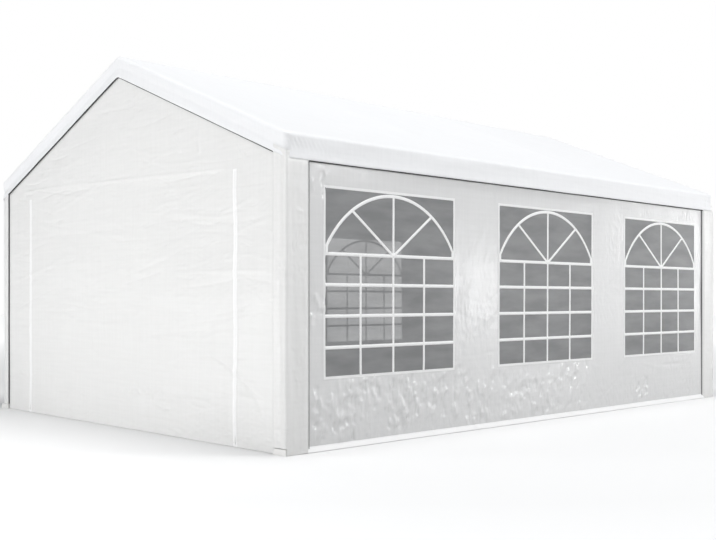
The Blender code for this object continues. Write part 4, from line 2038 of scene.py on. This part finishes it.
@dataclass
class Studio:
    """The pale floor, the soft lights and the camera.

    The heading is the camera's turn from the Y axis, in degrees, and the shift moves its picture across and
    up. The floor fades into white between two distances. It has one colour for the camera and one for
    the light that it throws back. The room is the colour of the surround's light.
    """

    eye: Triple = (6.849, -7.359, 1.018)
    heading: float = 47.92
    lens: float = 50.79
    shift: Pair = (0.0979, 0.0406)
    floor_radius: float = 60.0
    floor_fade: Pair = (5.0, 18.0)
    floor_glow: float = 0.66
    floor_colour: Colour = (0.88, 0.88, 0.88)
    floor_bounce: Colour = (0.60, 0.60, 0.60)
    room: Colour = (0.96, 0.98, 1.0)
    ambient: float = 0.33
    softboxes: tuple[Softbox, ...] = (
        Softbox("top_softbox", (3.5, -0.5, 17.0), (0.3, 0.0, 2.0), (8.0, 8.0), 1700.0),
        Softbox("key_softbox", (3.6, -15.5, 6.0), (0.6, -3.0, 1.2), (2.4, 3.0), 320.0),
        Softbox("front_softbox", (-8.5, -14.5, 9.0), (0.0, -3.0, 1.6), (2.1, 3.8), 215.0),
        Softbox("low_softbox", (-0.6, -6.6, 0.5), (-0.1, -3.0, 0.1), (4.6, 0.8), 46.0),
        Softbox("side_softbox", (12.6, 31.0, 3.6), (2.0, 0.6, 1.0), (2.6, 6.5), 560.0),
        Softbox("glint_softbox", (12.6, 13.0, 1.2), (2.0, -1.0, 0.5), (1.6, 1.6), 110.0),
        Softbox("fill_softbox", (11.5, 6.0, 6.0), (2.0, 1.2, 0.6), (3.0, 3.0), 385.0),
        Softbox("corner_softbox", (6.5, -12.5, 4.0), (2.0, -3.0, 1.2), (0.8, 5.0), 150.0),
    )

    def place_camera(self) -> None:
        """Makes the camera, which stands level as the upright edges of the marquee show."""
        data = bpy.data.cameras.new("studio_camera")
        data.lens = self.lens
        data.shift_x, data.shift_y = self.shift
        camera = bpy.data.objects.new("studio_camera", data)
        camera.location = self.eye
        camera.rotation_euler = (math.pi / 2.0, 0.0, math.radians(self.heading))
        bpy.context.scene.collection.objects.link(camera)
        bpy.context.scene.camera = camera

    def add_light(self, softbox: Softbox) -> None:
        """Adds one softbox to the scene.

        Args:
            softbox: The softbox.
        """
        data = bpy.data.lights.new(softbox.name, "AREA")
        data.shape = "RECTANGLE"
        data.size, data.size_y = softbox.size
        data.energy = softbox.power
        light = bpy.data.objects.new(softbox.name, data)
        light.location = softbox.place
        gaze = Vector(softbox.aim) - Vector(softbox.place)
        light.rotation_euler = gaze.to_track_quat("-Z", "Y").to_euler()
        bpy.context.scene.collection.objects.link(light)

    def light_room(self) -> None:
        """Lights the marquee evenly with a white surround, and with softboxes for shape."""
        world = bpy.data.worlds.new("studio")
        world.use_nodes = True
        wiring = Wiring(world.node_tree)
        surround = world.node_tree.nodes["Background"]
        surround.inputs["Color"].default_value = (*self.room, 1.0)
        surround.inputs["Strength"].default_value = self.ambient
        backdrop = wiring.add("ShaderNodeBackground", {"Color": (1.0, 1.0, 1.0, 1.0), "Strength": 1.0})
        seen = wiring.add("ShaderNodeLightPath").outputs["Is Camera Ray"]
        mix = wiring.add("ShaderNodeMixShader", {0: seen, 1: surround.outputs[0], 2: backdrop.outputs[0]})
        wiring.feed(world.node_tree.nodes["World Output"].inputs["Surface"], mix.outputs[0])
        bpy.context.scene.world = world
        for softbox in self.softboxes:
            self.add_light(softbox)
        bpy.context.scene.view_settings.view_transform = "Standard"

    def lay_floor(self) -> None:
        """Lays a wide round pale floor."""
        shape = bmesh.new()
        bmesh.ops.create_circle(shape, cap_ends=True, segments=128, radius=self.floor_radius)
        mesh = mesh_from("studio_floor", shape)
        floor = bpy.data.objects.new(mesh.name, mesh)
        bpy.context.scene.collection.objects.link(floor)
        material, wiring, shader = new_material("pale_floor")
        point = wiring.add("ShaderNodeTexCoord").outputs["Object"]
        seen = wiring.add("ShaderNodeLightPath").outputs["Is Camera Ray"]
        wiring.feed(shader.inputs["Base Color"], wiring.tinted(seen, self.floor_bounce, self.floor_colour))
        shader.inputs["Roughness"].default_value = 0.9
        away = wiring.add("ShaderNodeVectorMath", {"Vector": point}, operation="LENGTH").outputs["Value"]
        near, far = self.floor_fade
        span = {"Value": away, "From Min": near, "From Max": far, "To Max": self.floor_glow}
        fade = wiring.add("ShaderNodeMapRange", span)
        shader.inputs["Emission Color"].default_value = (1.0, 1.0, 1.0, 1.0)
        wiring.feed(shader.inputs["Emission Strength"], fade.outputs[0])
        mesh.materials.append(material)


def gable_relief(end: End) -> Relief:
    """Creases of one gable: long lines that rise to the right, a fan at the lower right, small marks.

    Args:
        end: Which gable.

    Returns:
        The gable's relief.
    """
    folds = [
        Crease((-1.69, 1.985), (-0.40, 1.980), 0.0050, 0.011, 0.008),
        Crease((-0.75, 1.978), (1.52, 1.915), 0.0085, 0.010, 0.004),
        Crease((-1.80, 1.560), (1.85, 1.640), -0.0042, 0.035, -0.020),
        Crease((0.60, 1.215), (1.86, 1.205), 0.0040, 0.011, 0.004),
        Crease((-1.40, 1.290), (1.10, 1.330), 0.0028, 0.020, 0.010),
        Crease((-1.70, 0.820), (0.80, 0.760), 0.0030, 0.024, 0.030),
        Crease((-0.60, 0.620), (1.80, 0.820), -0.0028, 0.028, 0.040),
        Crease((-0.20, 0.340), (1.40, 0.300), 0.0034, 0.018, 0.010),
        Crease((0.02, 2.380), (0.03, 2.150), 0.0070, 0.014, 0.004),
        Crease((0.74, 2.250), (0.82, 2.080), 0.0070, 0.013, 0.004),
        Crease((1.02, 2.250), (1.06, 2.040), 0.0075, 0.014, -0.004),
        Crease((1.44, 2.130), (1.60, 1.895), 0.0085, 0.013, 0.008),
        Crease((0.20, 2.200), (0.62, 2.110), 0.0050, 0.012, -0.020),
    ]
    fan = [
        Crease((1.02 + 0.13 * index, 0.66 - 0.03 * index), (1.80, 0.36 - 0.06 * index), 0.0036, 0.010, 0.03)
        for index in range(5)
    ]
    lines = StrayCreases(300, 2.0, 8.0, (0.12, 0.90), (0.006, 0.014), (0.0010, 0.0036))
    glints = StrayCreases(34, 8.0, 30.0, (0.05, 0.16), (0.007, 0.012), (0.0030, 0.0060))
    marks = lines.drawn((-1.9, 0.05), (1.9, 2.6), 211 + end.value)
    upright = StrayCreases(60, 88.0, 12.0, (0.10, 0.45)).drawn((-1.7, 0.9), (1.7, 2.4), 223 + end.value)
    waves = (Billow(0.0085, 1.7, 0.50), Billow(0.0034, 0.60, 0.16), Crumple(0.0018, 0.09, 3.0, 0.6, 0.3))
    bright = glints.drawn((0.02, 0.19), (0.66, 0.34), 229 + end.value)
    return Relief(seed=301 + end.value, waves=waves, creases=[*folds, *fan, *marks, *upright, *bright])


def side_relief(side: Side) -> Relief:
    """Creases of one long wall: drag lines from the windows' corners and crumpled cloth below them.

    Args:
        side: Which long wall.

    Returns:
        The wall's relief.
    """
    low = StrayCreases(190, 80.0, 22.0, (0.04, 0.13), (0.012, 0.022), (0.0015, 0.0048))
    marks = StrayCreases(130, 20.0, 40.0, (0.12, 0.55), height=(0.0005, 0.0022))
    clusters = (
        (44, (-2.75, 0.06), (-2.32, 0.34)),
        (18, (-2.42, 0.30), (-2.08, 0.46)),
        (28, (-2.00, 0.05), (-1.77, 0.42)),
        (28, (-1.78, 0.15), (-1.22, 0.43)),
        (24, (-1.12, 0.04), (-0.82, 0.38)),
        (16, (-0.38, 0.06), (0.02, 0.32)),
        (8, (1.44, 0.10), (1.74, 0.26)),
        (5, (-2.74, 1.74), (-2.62, 1.88)),
        (12, (-2.76, 0.87), (-2.60, 1.36)),
    )
    found = low.drawn((-2.75, 0.05), (0.6, 0.46), 401 + side.value)
    for index, (count, start, stop) in enumerate(clusters):
        steep = StrayCreases(count, 84.0, 15.0, (0.05, 0.12), (0.010, 0.016), (0.0055, 0.0105))
        found += steep.drawn(start, stop, 409 + 10 * index + side.value)
    found += marks.drawn((-2.7, 0.05), (2.7, 1.9), 431 + side.value)
    waves = (Billow(0.0080, 1.1, 1.3), Billow(0.0024, 0.26, 0.45), Crumple(0.0022, 0.080, 0.6, 0.50, 0.25))
    return Relief(seed=501 + side.value, waves=waves, creases=found)


def main() -> None:
    """Builds the marquee's looks in order and reports each piece."""
    logging.basicConfig(level=logging.INFO, format="%(name)s: %(message)s")
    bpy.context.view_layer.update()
    studio = Studio()
    studio.place_camera()
    sizes = Measures.from_frame()
    finishes = Finishes.built(Groups.built())
    assemblies: list[Assembly] = [RoofCloth(sizes, finishes)]
    for end in End:
        wide = CornerCloth(sizes, finishes, end=end, side=Side.LEFT, bend=0.085, hollow=0.0, bulge=0.0)
        assemblies += [wide, CornerCloth(sizes, finishes, end=end, side=Side.RIGHT)]
    assemblies += [GableCloth(sizes, finishes, end=end, relief=gable_relief(end)) for end in End]
    assemblies += [SideCloth(sizes, finishes, side=side, relief=side_relief(side)) for side in Side]
    assemblies += [ShadowLineBead(sizes, finishes), FrameSteel(sizes, finishes)]
    for assembly in assemblies:
        assembly.build()
        LOG.info("%s: %d pieces", type(assembly).__name__, len(assembly.pieces))
    studio.light_room()
    studio.lay_floor()


if __name__ == "__main__":
    main()
